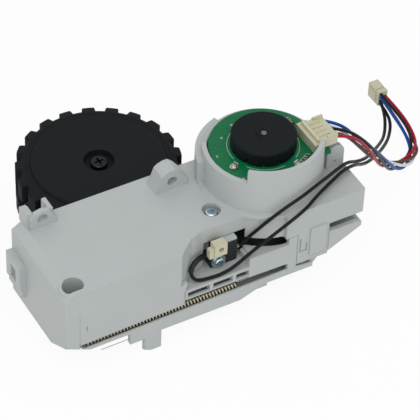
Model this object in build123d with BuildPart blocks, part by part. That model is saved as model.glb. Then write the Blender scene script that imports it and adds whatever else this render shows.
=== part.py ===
"""Drive wheel module of a robot vacuum: a sprung wheel on a geared swing arm, its motor and its housing.

Millimetres. The origin lies on the floor under the wheel axle, in its dropped position.
+X runs along the housing towards the motor, +Y towards the side where the wheel stands out,
+Z is the direction of the wheel axle.
"""

from build123d import *
from math import acos, atan2, cos, degrees, hypot, pi, radians, sin, sqrt, tan
import os

os.makedirs("parts", exist_ok=True)

# Clearances
RUN_GAP = 0.3  # between parts that turn past each other
FIT_GAP = 0.15  # round a part that drops into a seat
SLIDE_GAP = 0.05  # radial, round a shaft or pin that turns in its bore
SEAT_GAP = 0.02  # between two faces that rest on each other

# Gear train
GEAR_MODULE = 0.6
PINION_TEETH = 12
FIRST_TEETH = 40
SECOND_TEETH = 39
THIRD_TEETH = 39
SMALL_TEETH = 14
OUTPUT_TEETH = 42
GEAR_FACE = 2.2
GEAR_LAYER_GAP = 0.4
BACKLASH = 0.07  # taken off each flank
PRESSURE_ANGLE = 20.0

# Swing arm
ARM_ANGLE = -37.65  # from the wheel axle to the motor axis, wheel dropped
SWING = 20.0  # travel of the arm
SHELL = 1.4  # wall of the gear case
CASE_HEIGHT = 10.7
CASE_SIDE = 2.0  # from the largest gear to the outside of the case
AXLE_BOSS_R = 6.0
AXLE_BOSS_TOP = 28.0
HUB_RING_R = 19.0
HUB_RING_TOP = 31.0
HUB_RING_LIP = 1.8
HUB_RING_LIP_HEIGHT = 4.5
HUB_FLANGE = 2.8
HUB_FLANGE_HEIGHT = 1.7
HORN_REACH = 22.9
HORN_PIN_R = 1.0
HORN_ANGLE = 252.0  # round the motor axis, wheel dropped

# Wheel
TYRE_R = 33.0
TREAD_R = 30.8
HUB_R = 27.0
HUB_FACE = 41.0
HUB_SKIN = 2.4
RIM_WALL = 1.8
TYRE_TOP = 40.2
TYRE_BOTTOM = 19.7
TREAD_GROOVE = 1.6
LUG_COUNT = 21
LUG_ROOT_SHARE = 0.62
LUG_TIP_SHARE = 0.46
HUB_RIBS = 6
HUB_BOSS_R = 6.6
AXLE_R = 2.5
AXLE_FLAT = 0.6
WHEEL_SCREW_R = 1.5
WHEEL_SCREW_HEAD_R = 3.5
SCREW_RECESS_R = 5.9
SCREW_RECESS = 2.4

# Housing
WALL = 2.0
TOP = 45.3
PLATE_BOTTOM = CASE_HEIGHT + RUN_GAP
PLATE = 2.0
LEFT = -48.4
REAR = -21.0
FRONT_MARGIN = 26.8  # from the motor axis to the front face
RIGHT_MARGIN = 31.2  # from the motor axis to the right end
BULGE_R = 26.0  # housing round the motor at the rear
OUTER_FILLET = 0.7
SLOT_LEFT = -42.0
FRONT_LIP = 13.6
SKIRT_BOTTOM = 9.4
SEAM_RIGHT = 33.4
BASE_RIGHT_TOP = 28.8

# Motor and its cup
MOTOR_R = 13.85
MOTOR_LENGTH = 37.8
MOTOR_CAP_LENGTH = 7.0
MOTOR_SHAFT_R = 1.15
MOTOR_BOSS_R = 3.0
SLEEVE_WALL = 1.6
SLEEVE_END = 2.0
CUP_R = 23.9
CUP_WALL = 2.0
RIM_TOP = 66.0
LOW_RIM = 60.3
BOARD_TOP = 59.4
BOARD = 1.6
ENCODER_R = 12.9
ENCODER_TOP = 65.8
ENCODER_WALL = 1.3

# Pocket and switch
POCKET_LEFT = 0.5
POCKET_RIGHT = 47.0
POCKET_BACK = 8.6  # depth of the pocket from the front face
POCKET_ARC_R = 25.2
SHELF = 25.7
SHELF_PLATE = 1.3
BLOCK_TOP = 30.0
SWITCH_X = 19.6
SWITCH_LENGTH = 9.2
SWITCH_DEPTH = 6.0
SWITCH_HEIGHT = 10.8
SWITCH_FRONT = -59.6
PLUNGER_STROKE = 0.9

# Tension spring
COIL_R = 1.9
SPRING_WIRE = 0.8
SPRING_PITCH = 1.4
SPRING_Z = 15.5
SPRING_SETBACK = 3.2  # from the front face to the axis of the coil
COIL_LEFT = -38.6
COIL_RIGHT = 27.0

# Mounting eyes and corner bore
EAR_HOLE_R = 2.05
EAR_LENGTH = 6.0
CORNER_HOLE_R = 4.1
CORNER_SCREW_R = 2.2
CORNER_X = -42.4
CORNER_Y = -60.4

# Wires
WIRE_D = 1.4
PLUG_WIRE_D = 1.3
SLEEVE_D = 2.2


def place(x, y, z):
    """A plane whose origin is at a point, its axes along the frame's."""
    return Plane((x, y, z))


# Places worked out from the driving sizes
TRAIN = [
    (PINION_TEETH, FIRST_TEETH),
    (SMALL_TEETH, SECOND_TEETH),
    (SMALL_TEETH, THIRD_TEETH),
    (SMALL_TEETH, OUTPUT_TEETH),
]
CENTRES = [GEAR_MODULE * (a + b) / 2 for a, b in TRAIN]
ARM_REACH = sum(CENTRES)
PIVOT_X = ARM_REACH * cos(radians(ARM_ANGLE))
PIVOT_Y = ARM_REACH * sin(radians(ARM_ANGLE))
TO_WHEEL = degrees(atan2(-PIVOT_Y, -PIVOT_X))
FRONT = PIVOT_Y - FRONT_MARGIN
RIGHT = PIVOT_X + RIGHT_MARGIN


def along_arm(distance, side=0.0):
    """A point on the arm, measured from the motor axis towards the wheel and to the arm's left."""
    a = radians(TO_WHEEL)
    x = PIVOT_X + distance * cos(a) - side * sin(a)
    y = PIVOT_Y + distance * sin(a) + side * cos(a)
    return x, y


FIRST_AT = along_arm(CENTRES[0])
SECOND_AT = along_arm(CENTRES[0] + CENTRES[1])
THIRD_AT = along_arm(CENTRES[0] + CENTRES[1] + CENTRES[2])
LAYER_PITCH = GEAR_FACE + GEAR_LAYER_GAP
LAYER_1 = SHELL + (CASE_HEIGHT - 2 * SHELL - 3 * GEAR_FACE - 2 * GEAR_LAYER_GAP) / 2
LAYER_2 = LAYER_1 + LAYER_PITCH
LAYER_3 = LAYER_2 + LAYER_PITCH
CASE_SPLIT = CASE_HEIGHT / 2
PLATE_TOP = PLATE_BOTTOM + PLATE
COVER_UNDER = TOP - WALL
SLEEVE_R = MOTOR_R + FIT_GAP
SLEEVE_OUT = SLEEVE_R + SLEEVE_WALL
HUB_BORE_R = SLEEVE_OUT + RUN_GAP
MOTOR_REAR = BOARD_TOP - BOARD - FIT_GAP
MOTOR_FRONT = MOTOR_REAR - MOTOR_LENGTH
SPRING_Y = FRONT + SPRING_SETBACK


def tip_radius(teeth):
    return GEAR_MODULE * (teeth + 2) / 2 - 0.05


def gear_outline(teeth, turn):
    """Involute tooth outline: flanks from the involute's formula, tips and roots on their circles."""
    pitch_r = GEAR_MODULE * teeth / 2
    base_r = pitch_r * cos(radians(PRESSURE_ANGLE))
    tip_r = tip_radius(teeth)
    root_r = pitch_r - 1.2 * GEAR_MODULE
    low_r = max(base_r, root_r + 0.05)

    def spread(r):
        a = acos(min(1.0, base_r / r))
        return tan(a) - a

    half = pi / (2 * teeth) - BACKLASH / pitch_r + spread(pitch_r)
    steps = 4
    radii = [low_r + (tip_r - low_r) * i / steps for i in range(steps + 1)]
    points = []
    for k in range(teeth):
        middle = 2 * pi * k / teeth + turn
        edge = half - spread(low_r)
        points.append((root_r, middle - edge))
        points += [(r, middle - half + spread(r)) for r in radii]
        points += [(r, middle + half - spread(r)) for r in reversed(radii)]
        points.append((root_r, middle + edge))
    return [(r * cos(a), r * sin(a)) for r, a in points]


def mesh_turn(teeth_a, turn_a, teeth_b, direction):
    """The turn of gear b that puts a gap of b where a tooth of a points along the line of centres."""
    phase = (turn_a - direction) * teeth_a / teeth_b
    return direction + pi - phase + pi / teeth_b


def gear_block(teeth, turn, x, y, z):
    """A gear's tooth ring as a plain extrusion."""
    with BuildPart() as block:
        with BuildSketch(place(x, y, z)):
            with BuildLine():
                Polyline(*gear_outline(teeth, turn), close=True)
            make_face()
        extrude(amount=GEAR_FACE)
    return block.part


ARM_DIRECTION = radians(TO_WHEEL)
PINION_TURN = 0.0
FIRST_TURN = mesh_turn(PINION_TEETH, PINION_TURN, FIRST_TEETH, ARM_DIRECTION)
SECOND_TURN = mesh_turn(SMALL_TEETH, FIRST_TURN, SECOND_TEETH, ARM_DIRECTION)
THIRD_TURN = mesh_turn(SMALL_TEETH, SECOND_TURN, THIRD_TEETH, ARM_DIRECTION)
OUTPUT_TURN = mesh_turn(SMALL_TEETH, THIRD_TURN, OUTPUT_TEETH, ARM_DIRECTION)


def export(part, label):
    part.label = label
    export_step(part, f"parts/{label}.step")
    print(f"{label:24s} solids {len(part.solids()):3d}  volume {part.volume:10.2f}")


# Tyre: a rubber band with two staggered rows of chamfered lugs
LUG_TOP_ROW = (TYRE_TOP + TYRE_BOTTOM + TREAD_GROOVE) / 2
LUG_LOW_ROW = (TYRE_TOP + TYRE_BOTTOM - TREAD_GROOVE) / 2
RIM_R = HUB_R + 1.0
LUG_PITCH = 360 / LUG_COUNT


def lug_row(start_angle):
    """One row of lugs in plan, each a trapezoid that narrows outwards."""
    root = radians(LUG_PITCH * LUG_ROOT_SHARE / 2)
    tip = radians(LUG_PITCH * LUG_TIP_SHARE / 2)
    inner = TREAD_R - 0.6
    shoulder = TYRE_R - 0.7
    shape = [
        (inner, -root),
        (shoulder, -(root + tip) / 2),
        (TYRE_R, -tip),
        (TYRE_R, tip),
        (shoulder, (root + tip) / 2),
        (inner, root),
    ]
    with BuildSketch() as row:
        for k in range(LUG_COUNT):
            middle = radians(start_angle + k * LUG_PITCH)
            with BuildLine():
                Polyline(*[(r * cos(middle + a), r * sin(middle + a)) for r, a in shape], close=True)
            make_face()
    return row.sketch


def on_plane(face, z):
    """A plan face carried to height z."""
    return face.moved(Location((0, 0, z)))


LUG_START = 96.0
with BuildPart() as tyre:
    with BuildSketch(Plane.XZ):
        with BuildLine():
            Polyline(
                (RIM_R, TYRE_BOTTOM),
                (TREAD_R - 0.8, TYRE_BOTTOM),
                (TREAD_R, TYRE_BOTTOM + 0.8),
                (TREAD_R, TYRE_TOP - 0.8),
                (TREAD_R - 0.8, TYRE_TOP),
                (HUB_R + SLIDE_GAP, TYRE_TOP),
                (HUB_R + SLIDE_GAP, TYRE_TOP - 1.4),
                (RIM_R, TYRE_TOP - 1.4),
                close=True,
            )
        make_face()
    revolve(axis=Axis.Z)
    extrude(on_plane(lug_row(LUG_START), LUG_TOP_ROW), amount=TYRE_TOP - LUG_TOP_ROW - 0.4)
    extrude(on_plane(lug_row(LUG_START + LUG_PITCH / 2), TYRE_BOTTOM + 0.4), amount=LUG_LOW_ROW - TYRE_BOTTOM - 0.4)
export(tyre.part, "tyre")

# Wheel hub: a dished disc with a rim, ribs and a boss that sits on the axle
HUB_UNDER = HUB_FACE - HUB_SKIN
RECESS_FLOOR = HUB_FACE - SCREW_RECESS
BOSS_BOTTOM = AXLE_BOSS_TOP + RUN_GAP + 0.3
AXLE_TOP = RECESS_FLOOR - 2.0
with BuildPart() as wheel_hub:
    with BuildSketch(Plane.XZ):
        with BuildLine():
            Polyline(
                (WHEEL_SCREW_R + SLIDE_GAP, AXLE_TOP),
                (WHEEL_SCREW_R + SLIDE_GAP, RECESS_FLOOR),
                (SCREW_RECESS_R, RECESS_FLOOR),
                (SCREW_RECESS_R + 0.3, HUB_FACE),
                (HUB_R - 0.8, HUB_FACE),
                (HUB_R, HUB_FACE - 0.8),
                (HUB_R, TYRE_TOP - 1.45),
                (RIM_R - SLIDE_GAP, TYRE_TOP - 1.45),
                (RIM_R - SLIDE_GAP, TYRE_BOTTOM + 0.5),
                (RIM_R - RIM_WALL, TYRE_BOTTOM + 0.5),
                (RIM_R - RIM_WALL, HUB_UNDER),
                (HUB_BOSS_R, HUB_UNDER),
                (HUB_BOSS_R, BOSS_BOTTOM),
                (AXLE_R + SLIDE_GAP, BOSS_BOTTOM),
                (AXLE_R + SLIDE_GAP, AXLE_TOP),
                close=True,
            )
        make_face()
    revolve(axis=Axis.Z)
    with BuildSketch(Plane.XY.offset(HUB_UNDER - 4.0)):
        with PolarLocations((HUB_BOSS_R + RIM_R - RIM_WALL) / 2, HUB_RIBS):
            Rectangle(RIM_R - RIM_WALL - HUB_BOSS_R + 1.0, 1.4)
    extrude(amount=4.2)
    with BuildSketch(Plane.XY.offset(BOSS_BOTTOM)):
        with Locations((0, AXLE_R + SLIDE_GAP - AXLE_FLAT / 2 + 0.3)):
            Rectangle(2 * AXLE_R, AXLE_FLAT + 0.6)
    extrude(amount=AXLE_TOP - BOSS_BOTTOM)
export(wheel_hub.part, "wheel_hub")

# Axle: a steel pin with a flat at the hub and one in the output gear
FLAT_AT = AXLE_R - AXLE_FLAT
with BuildPart() as axle:
    with BuildSketch(Plane.XY.offset(SHELL / 2 + 0.1)):
        Circle(AXLE_R)
    extrude(amount=AXLE_TOP - SEAT_GAP - SHELL / 2 - 0.1)
    with BuildSketch(Plane.XY.offset(BOSS_BOTTOM - 0.2)):
        with Locations((0, FLAT_AT + AXLE_R / 2 - SLIDE_GAP)):
            Rectangle(3 * AXLE_R, AXLE_R)
    extrude(amount=AXLE_TOP, mode=Mode.SUBTRACT)
    with BuildSketch(Plane.XY.offset(LAYER_3)):
        with Locations((0, FLAT_AT + AXLE_R / 2 - SLIDE_GAP)):
            Rectangle(3 * AXLE_R, AXLE_R)
    extrude(amount=GEAR_FACE, mode=Mode.SUBTRACT)
    with BuildSketch(Plane.XY.offset(AXLE_TOP - 9.0)):
        Circle(WHEEL_SCREW_R + SLIDE_GAP)
    extrude(amount=10.0, mode=Mode.SUBTRACT)
export(axle.part, "axle")


def screw(x, y, head_bottom, head_r, head_height, shank_r, shank_length, direction=1, recess_r=None):
    """A pan-head cross-recess screw along Z. direction 1 has its head on top."""
    cross = recess_r or head_r * 0.55
    base = Plane((x, y, head_bottom), x_dir=(1, 0, 0), z_dir=(0, 0, direction))
    with BuildPart() as one:
        with BuildSketch(base):
            Circle(head_r)
        extrude(amount=head_height)
        top_edges = one.edges().group_by(Axis.Z)[-1 if direction > 0 else 0]
        fillet(top_edges, min(head_height, head_r) * 0.45)
        with BuildSketch(base.offset(-shank_length)):
            Circle(shank_r)
        extrude(amount=shank_length)
        with BuildSketch(base.offset(head_height)):
            Rectangle(2 * cross, cross * 0.42)
            Rectangle(cross * 0.42, 2 * cross)
        extrude(amount=-head_height * 0.6, mode=Mode.SUBTRACT)
    return one.part


wheel_screw = screw(0, 0, RECESS_FLOOR + SEAT_GAP, WHEEL_SCREW_HEAD_R, 1.9, WHEEL_SCREW_R, 10.5)
export(wheel_screw, "wheel_screw")

# Gears
with BuildPart() as output_gear:
    add(gear_block(OUTPUT_TEETH, OUTPUT_TURN, 0, 0, LAYER_3))
    with BuildSketch(Plane.XY.offset(LAYER_3 - GEAR_LAYER_GAP)):
        Circle(AXLE_R + 1.4)
    extrude(amount=GEAR_FACE + GEAR_LAYER_GAP)
    with BuildSketch(Plane.XY.offset(LAYER_3 - GEAR_LAYER_GAP)):
        Circle(AXLE_R + SLIDE_GAP)
        with Locations((0, FLAT_AT + SLIDE_GAP + AXLE_R / 2)):
            Rectangle(3 * AXLE_R, AXLE_R, mode=Mode.SUBTRACT)
    extrude(amount=GEAR_FACE + GEAR_LAYER_GAP, mode=Mode.SUBTRACT)
    with BuildSketch(Plane.XY.offset(LAYER_3 - GEAR_LAYER_GAP)):
        Circle(AXLE_R + SLIDE_GAP)
    extrude(amount=GEAR_LAYER_GAP, mode=Mode.SUBTRACT)
    with BuildSketch(Plane.XY.offset(LAYER_3)):
        with PolarLocations(GEAR_MODULE * OUTPUT_TEETH / 3.1, 5):
            Circle(GEAR_MODULE * OUTPUT_TEETH / 11)
    extrude(amount=GEAR_FACE, mode=Mode.SUBTRACT)
export(output_gear.part, "output_gear")

PIN_R = 1.0
GEAR_HUB_R = 2.4


def compound_gear(teeth, turn, at, wheel_layer, small_layer):
    """A moulded gear with a large and a small tooth ring on one hub, bored for its pin."""
    x, y = at
    low = LAYER_1 - 0.1
    high = LAYER_3 + GEAR_FACE + 0.1
    with BuildPart() as gear:
        add(gear_block(teeth, turn, x, y, wheel_layer))
        add(gear_block(SMALL_TEETH, turn, x, y, small_layer))
        with BuildSketch(place(x, y, low)):
            Circle(GEAR_HUB_R)
        extrude(amount=high - low)
        with BuildSketch(place(x, y, low)):
            Circle(PIN_R + SLIDE_GAP)
        extrude(amount=high - low, mode=Mode.SUBTRACT)
    return gear.part


gear_first = compound_gear(FIRST_TEETH, FIRST_TURN, FIRST_AT, LAYER_3, LAYER_2)
export(gear_first, "gear_first")
gear_second = compound_gear(SECOND_TEETH, SECOND_TURN, SECOND_AT, LAYER_2, LAYER_1)
export(gear_second, "gear_second")
gear_third = compound_gear(THIRD_TEETH, THIRD_TURN, THIRD_AT, LAYER_1, LAYER_3)
export(gear_third, "gear_third")

# Motor pinion, pressed on the shaft's end
with BuildPart() as pinion:
    add(gear_block(PINION_TEETH, PINION_TURN, PIVOT_X, PIVOT_Y, LAYER_3))
    with BuildSketch(place(PIVOT_X, PIVOT_Y, LAYER_3)):
        Circle(MOTOR_SHAFT_R)
    extrude(amount=GEAR_FACE, mode=Mode.SUBTRACT)
export(pinion.part, "motor_pinion")

with BuildPart() as motor_shaft:
    with BuildSketch(place(PIVOT_X, PIVOT_Y, LAYER_3)):
        Circle(MOTOR_SHAFT_R)
    extrude(amount=ENCODER_TOP + 0.35 - LAYER_3)
    chamfer(motor_shaft.edges().group_by(Axis.Z)[-1], 0.25)
export(motor_shaft.part, "motor_shaft")

# Encoder drum: an inverted cup whose slotted skirt turns between the light gates
SKIRT_BOTTOM_Z = BOARD_TOP + 0.5
DRUM_SLOTS = 12
with BuildPart() as encoder_drum:
    with BuildSketch(place(PIVOT_X, PIVOT_Y, SKIRT_BOTTOM_Z)):
        Circle(ENCODER_R)
    extrude(amount=ENCODER_TOP - SKIRT_BOTTOM_Z)
    fillet(encoder_drum.edges().group_by(Axis.Z)[-1], 0.9)
    with BuildSketch(place(PIVOT_X, PIVOT_Y, SKIRT_BOTTOM_Z)):
        Circle(ENCODER_R - ENCODER_WALL)
        Circle(MOTOR_SHAFT_R + 1.6, mode=Mode.SUBTRACT)
    extrude(amount=ENCODER_TOP - SKIRT_BOTTOM_Z - 1.3, mode=Mode.SUBTRACT)
    with BuildSketch(place(PIVOT_X, PIVOT_Y, SKIRT_BOTTOM_Z)):
        with PolarLocations(ENCODER_R - ENCODER_WALL / 2, DRUM_SLOTS):
            Rectangle(ENCODER_WALL + 1.0, 0.9)
    extrude(amount=2.2, mode=Mode.SUBTRACT)
    with BuildSketch(place(PIVOT_X, PIVOT_Y, SKIRT_BOTTOM_Z)):
        Circle(MOTOR_SHAFT_R)
    extrude(amount=ENCODER_TOP, mode=Mode.SUBTRACT)
    with BuildSketch(place(PIVOT_X, PIVOT_Y, ENCODER_TOP)):
        with Locations((-2.3, 0.6)):
            Rectangle(0.8, 3.0)
        with Locations((1.3, 2.0)):
            Rectangle(0.8, 2.6)
    extrude(amount=0.35)
export(encoder_drum.part, "encoder_drum")

# Gear case outline in plan: a hull round the gears and the axle
CASE_WIDE = tip_radius(OUTPUT_TEETH) + CASE_SIDE
CASE_FIRST = tip_radius(FIRST_TEETH) + CASE_SIDE
CASE_MOTOR = tip_radius(PINION_TEETH) + CASE_SIDE + 3.5


def case_outline(inset=0.0):
    """The case in plan, drawn in smaller by inset."""
    with Locations((0, 0)):
        Circle(CASE_WIDE - inset)
    with Locations(FIRST_AT):
        Circle(CASE_FIRST - inset)
    with Locations((PIVOT_X, PIVOT_Y)):
        Circle(CASE_MOTOR - inset)


def hull_face(inset=0.0):
    with BuildSketch() as rounds:
        case_outline(inset)
    with BuildSketch() as hull:
        add(rounds.sketch)
        make_hull(rounds.sketch.edges())
    return hull.sketch


CASE_BOSS_R = 2.5
CASE_BOSS_SIDE = CASE_FIRST - 0.6
MIDDLES = [
    CENTRES[0] + CENTRES[1] / 2,
    CENTRES[0] + CENTRES[1] + CENTRES[2] / 2,
]
CASE_BOSSES = [along_arm(d, s * CASE_BOSS_SIDE) for d in MIDDLES for s in (-1, 1)]
CASE_SCREW_R = 0.9
CASE_HEAD_R = 1.7
CASE_PLAN = hull_face()
CASE_INSIDE = hull_face(SHELL)


with BuildPart() as arm_case_lower:
    extrude(on_plane(CASE_PLAN, 0), amount=CASE_SPLIT - SEAT_GAP)
    with BuildSketch(Plane.XY):
        with Locations(*CASE_BOSSES):
            Circle(CASE_BOSS_R)
    extrude(amount=CASE_SPLIT - SEAT_GAP)
    chamfer(arm_case_lower.faces().sort_by(Axis.Z)[0].outer_wire().edges(), 0.6)
    with BuildSketch(Plane.XY.offset(SHELL)) as lower_room:
        add(CASE_INSIDE)
        with Locations(*CASE_BOSSES):
            Circle(CASE_BOSS_R, mode=Mode.SUBTRACT)
    extrude(amount=CASE_SPLIT, mode=Mode.SUBTRACT)
    with BuildSketch(Plane.XY.offset(SHELL)):
        Circle(AXLE_R + 1.4)
    extrude(amount=LAYER_1 - SHELL - 0.1)
    with BuildSketch(Plane.XY.offset(SHELL / 2)):
        Circle(AXLE_R + SLIDE_GAP)
    extrude(amount=CASE_SPLIT, mode=Mode.SUBTRACT)
    with BuildSketch(Plane.XY.offset(SHELL / 2)):
        with Locations(FIRST_AT, SECOND_AT, THIRD_AT):
            Circle(PIN_R)
    extrude(amount=SHELL, mode=Mode.SUBTRACT)
    with BuildSketch(Plane.XY):
        with Locations(*CASE_BOSSES):
            Circle(CASE_SCREW_R + 0.1)
    extrude(amount=CASE_SPLIT, mode=Mode.SUBTRACT)
    with BuildSketch(Plane.XY):
        with Locations(*CASE_BOSSES):
            Circle(CASE_HEAD_R + FIT_GAP)
    extrude(amount=2.0, mode=Mode.SUBTRACT)
export(arm_case_lower.part, "arm_case_lower")

# Upper gear case: lid of the gears, boss of the axle and seat of the hub ring
RING_SEAT_UNDER = CASE_HEIGHT - 2.2
RING_SCREW_AT = (HUB_BORE_R + HUB_RING_R) / 2
RING_SCREWS = [TO_WHEEL + a for a in (70, 180, 290)]
BUSH_R = AXLE_R + 1.4


def round_pivot(radius, angle):
    """A point at an angle and a distance from the motor axis."""
    return PIVOT_X + radius * cos(radians(angle)), PIVOT_Y + radius * sin(radians(angle))


with BuildPart() as arm_case_upper:
    extrude(on_plane(CASE_PLAN, CASE_SPLIT), amount=CASE_HEIGHT - CASE_SPLIT)
    with BuildSketch(Plane.XY.offset(CASE_SPLIT)):
        with Locations(*CASE_BOSSES):
            Circle(CASE_BOSS_R)
    extrude(amount=CASE_HEIGHT - CASE_SPLIT)
    with BuildSketch(place(PIVOT_X, PIVOT_Y, RING_SEAT_UNDER)):
        Circle(HUB_RING_R + 0.6)
    extrude(amount=CASE_HEIGHT - RING_SEAT_UNDER)
    with BuildSketch(Plane.XY.offset(CASE_SPLIT)):
        add(CASE_INSIDE)
        with Locations(*CASE_BOSSES):
            Circle(CASE_BOSS_R, mode=Mode.SUBTRACT)
    extrude(amount=CASE_HEIGHT - SHELL - CASE_SPLIT, mode=Mode.SUBTRACT)
    with BuildSketch(Plane.XY.offset(CASE_HEIGHT - SHELL)):
        Circle(AXLE_BOSS_R)
    extrude(amount=AXLE_BOSS_TOP - CASE_HEIGHT + SHELL)
    with BuildSketch(Plane.XY.offset(CASE_HEIGHT - SHELL - 0.1)):
        Circle(BUSH_R + SLIDE_GAP)
    extrude(amount=AXLE_BOSS_TOP, mode=Mode.SUBTRACT)
    with BuildSketch(place(PIVOT_X, PIVOT_Y, CASE_HEIGHT - SHELL)):
        Circle(tip_radius(PINION_TEETH) + 1.0)
    extrude(amount=SHELL, mode=Mode.SUBTRACT)
    with BuildSketch(Plane.XY.offset(CASE_HEIGHT - SHELL)):
        with Locations(FIRST_AT, SECOND_AT, THIRD_AT):
            Circle(PIN_R)
    extrude(amount=SHELL / 2, mode=Mode.SUBTRACT)
    with BuildSketch(Plane.XY.offset(CASE_SPLIT)):
        with Locations(*CASE_BOSSES):
            Circle(CASE_SCREW_R)
    extrude(amount=4.0, mode=Mode.SUBTRACT)
    with BuildSketch(Plane.XY.offset(RING_SEAT_UNDER)):
        with Locations(*[round_pivot(RING_SCREW_AT, a) for a in RING_SCREWS]):
            Circle(CASE_SCREW_R + 0.1)
    extrude(amount=CASE_HEIGHT, mode=Mode.SUBTRACT)
export(arm_case_upper.part, "arm_case_upper")

# Hub ring: turns round the motor sleeve and is trapped above the base plate
FLANGE_BOTTOM = PLATE_TOP + RUN_GAP
FLANGE_TOP = FLANGE_BOTTOM + HUB_FLANGE_HEIGHT
HORN_AT = round_pivot(HORN_REACH, HORN_ANGLE)
HORN_LUG_R = 1.6
SWITCH_MIDDLE_Y = SWITCH_FRONT + SWITCH_DEPTH / 2
PLUNGER_X = 33.5
PLUNGER_Z = 29.0
PLUNGER_R = 0.9
CAM_TOP = PLUNGER_Z + 1.4
CAM_BOTTOM = PLUNGER_Z - 1.4
CAM_GAP = 0.12


def cam_outline():
    """The cam's edge: for each arm position, the point just off the plunger's round tip."""
    steps = 8
    edge = []
    for i in range(-2, steps + 3):
        turn = SWING * i / steps
        x = PLUNGER_X - PLUNGER_R - PLUNGER_STROKE * turn / SWING - PIVOT_X
        y = SWITCH_MIDDLE_Y - PIVOT_Y
        angle = atan2(y, x) - radians(turn)
        reach = hypot(x, y) - PLUNGER_R - CAM_GAP
        edge.append((PIVOT_X + reach * cos(angle), PIVOT_Y + reach * sin(angle)))
    return edge


CAM_EDGE = cam_outline()
with BuildPart() as arm_hub_ring:
    with BuildSketch(place(PIVOT_X, PIVOT_Y, CASE_HEIGHT + SEAT_GAP)):
        Circle(HUB_RING_R)
    extrude(amount=HUB_RING_TOP - CASE_HEIGHT - SEAT_GAP)
    with BuildSketch(place(PIVOT_X, PIVOT_Y, FLANGE_BOTTOM)):
        Circle(HUB_RING_R + HUB_FLANGE)
    extrude(amount=HUB_FLANGE_HEIGHT)
    with BuildSketch(place(PIVOT_X, PIVOT_Y, HUB_RING_TOP - HUB_RING_LIP_HEIGHT)):
        Circle(HUB_RING_R + HUB_RING_LIP)
    extrude(amount=HUB_RING_LIP_HEIGHT)
    with BuildSketch(Plane.XY.offset(FLANGE_TOP)):
        with Locations(HORN_AT):
            Circle(HORN_LUG_R)
        with BuildLine():
            Polyline(
                round_pivot(HUB_RING_R - 1, HORN_ANGLE - 9),
                round_pivot(HORN_REACH, HORN_ANGLE - 5),
                round_pivot(HORN_REACH, HORN_ANGLE + 5),
                round_pivot(HUB_RING_R - 1, HORN_ANGLE + 12),
                close=True,
            )
        make_face()
    extrude(amount=1.0)
    with BuildSketch(place(HORN_AT[0], HORN_AT[1], FLANGE_TOP)):
        Circle(HORN_PIN_R)
    extrude(amount=4.4)
    with BuildSketch(Plane.XY.offset(CAM_BOTTOM)):
        with BuildLine():
            Polyline(
                *CAM_EDGE,
                round_pivot(HUB_RING_R - 1, degrees(atan2(CAM_EDGE[-1][1] - PIVOT_Y, CAM_EDGE[-1][0] - PIVOT_X)) - 2),
                round_pivot(HUB_RING_R - 1, degrees(atan2(CAM_EDGE[0][1] - PIVOT_Y, CAM_EDGE[0][0] - PIVOT_X)) + 4),
                close=True,
            )
        make_face()
    extrude(amount=CAM_TOP - CAM_BOTTOM)
    with BuildSketch(place(PIVOT_X, PIVOT_Y, CASE_HEIGHT)):
        Circle(HUB_BORE_R)
    extrude(amount=HUB_RING_TOP, mode=Mode.SUBTRACT)
    with BuildSketch(Plane.XY.offset(CASE_HEIGHT)):
        with Locations(*[round_pivot(RING_SCREW_AT, a) for a in RING_SCREWS]):
            Circle(CASE_SCREW_R)
    extrude(amount=5.0, mode=Mode.SUBTRACT)
export(arm_hub_ring.part, "arm_hub_ring")

# Screws of the arm, driven from below
with BuildPart() as case_screws:
    for x, y in CASE_BOSSES:
        add(screw(x, y, 2.0 - SEAT_GAP, CASE_HEAD_R, 1.2, CASE_SCREW_R, 6.5, direction=-1))
export(case_screws.part, "gear_case_screws")

with BuildPart() as ring_screws:
    for angle in RING_SCREWS:
        x, y = round_pivot(RING_SCREW_AT, angle)
        add(screw(x, y, RING_SEAT_UNDER - SEAT_GAP, CASE_HEAD_R, 1.2, CASE_SCREW_R, 6.5, direction=-1))
export(ring_screws.part, "hub_ring_screws")

with BuildPart() as gear_pins:
    with BuildSketch(Plane.XY.offset(SHELL / 2 + SEAT_GAP)):
        with Locations(FIRST_AT, SECOND_AT, THIRD_AT):
            Circle(PIN_R)
    extrude(amount=CASE_HEIGHT - SHELL - 2 * SEAT_GAP)
export(gear_pins.part, "gear_pins")

with BuildPart() as axle_bush:
    with BuildSketch(Plane.XY.offset(CASE_HEIGHT)):
        Circle(BUSH_R)
        Circle(AXLE_R + SLIDE_GAP, mode=Mode.SUBTRACT)
    extrude(amount=AXLE_BOSS_TOP - CASE_HEIGHT)
export(axle_bush.part, "axle_bush")

# Base shell: floor plate, front wall, ramp at the right end and the block that carries the switch
BASE_LEFT = LEFT + WALL + FIT_GAP
FRONT_IN = FRONT + WALL
STRIP = 0.8
CORNER_CUT = Plane(
    origin=(LEFT + 0.2, FRONT + 0.4, 18.4),
    x_dir=(9.2, 0, -4.6),
    z_dir=(0.390, 0.488, 0.781),
)
CORNER_SKIN = 1.0
ARC_IN = BULGE_R - WALL
BLOCK_ARC_R = 25.6
POST_AT = (23.1, -48.7)
BOTTOM_SCREW_AT = (-42.5, -48.0)
SWITCH_SCREW = (20.5, 28.75)
POST_R = 3.6
WELL_R = 3.7
WELL_FLOOR = TOP - 2.7
ANCHOR_AT = (COIL_LEFT - 2.0, FRONT + 4.5)
WALL_CORNER = 66.7
CLIP_LEFT = 52.3
WALL_NOTCH_LEFT = 49.0
WALL_NOTCH_RIGHT = 55.6


def box(x0, x1, y0, y1, z0, z1, mode=Mode.ADD):
    """A box between two corners."""
    with Locations(((x0 + x1) / 2, (y0 + y1) / 2, (z0 + z1) / 2)):
        Box(x1 - x0, y1 - y0, z1 - z0, mode=mode)


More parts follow.
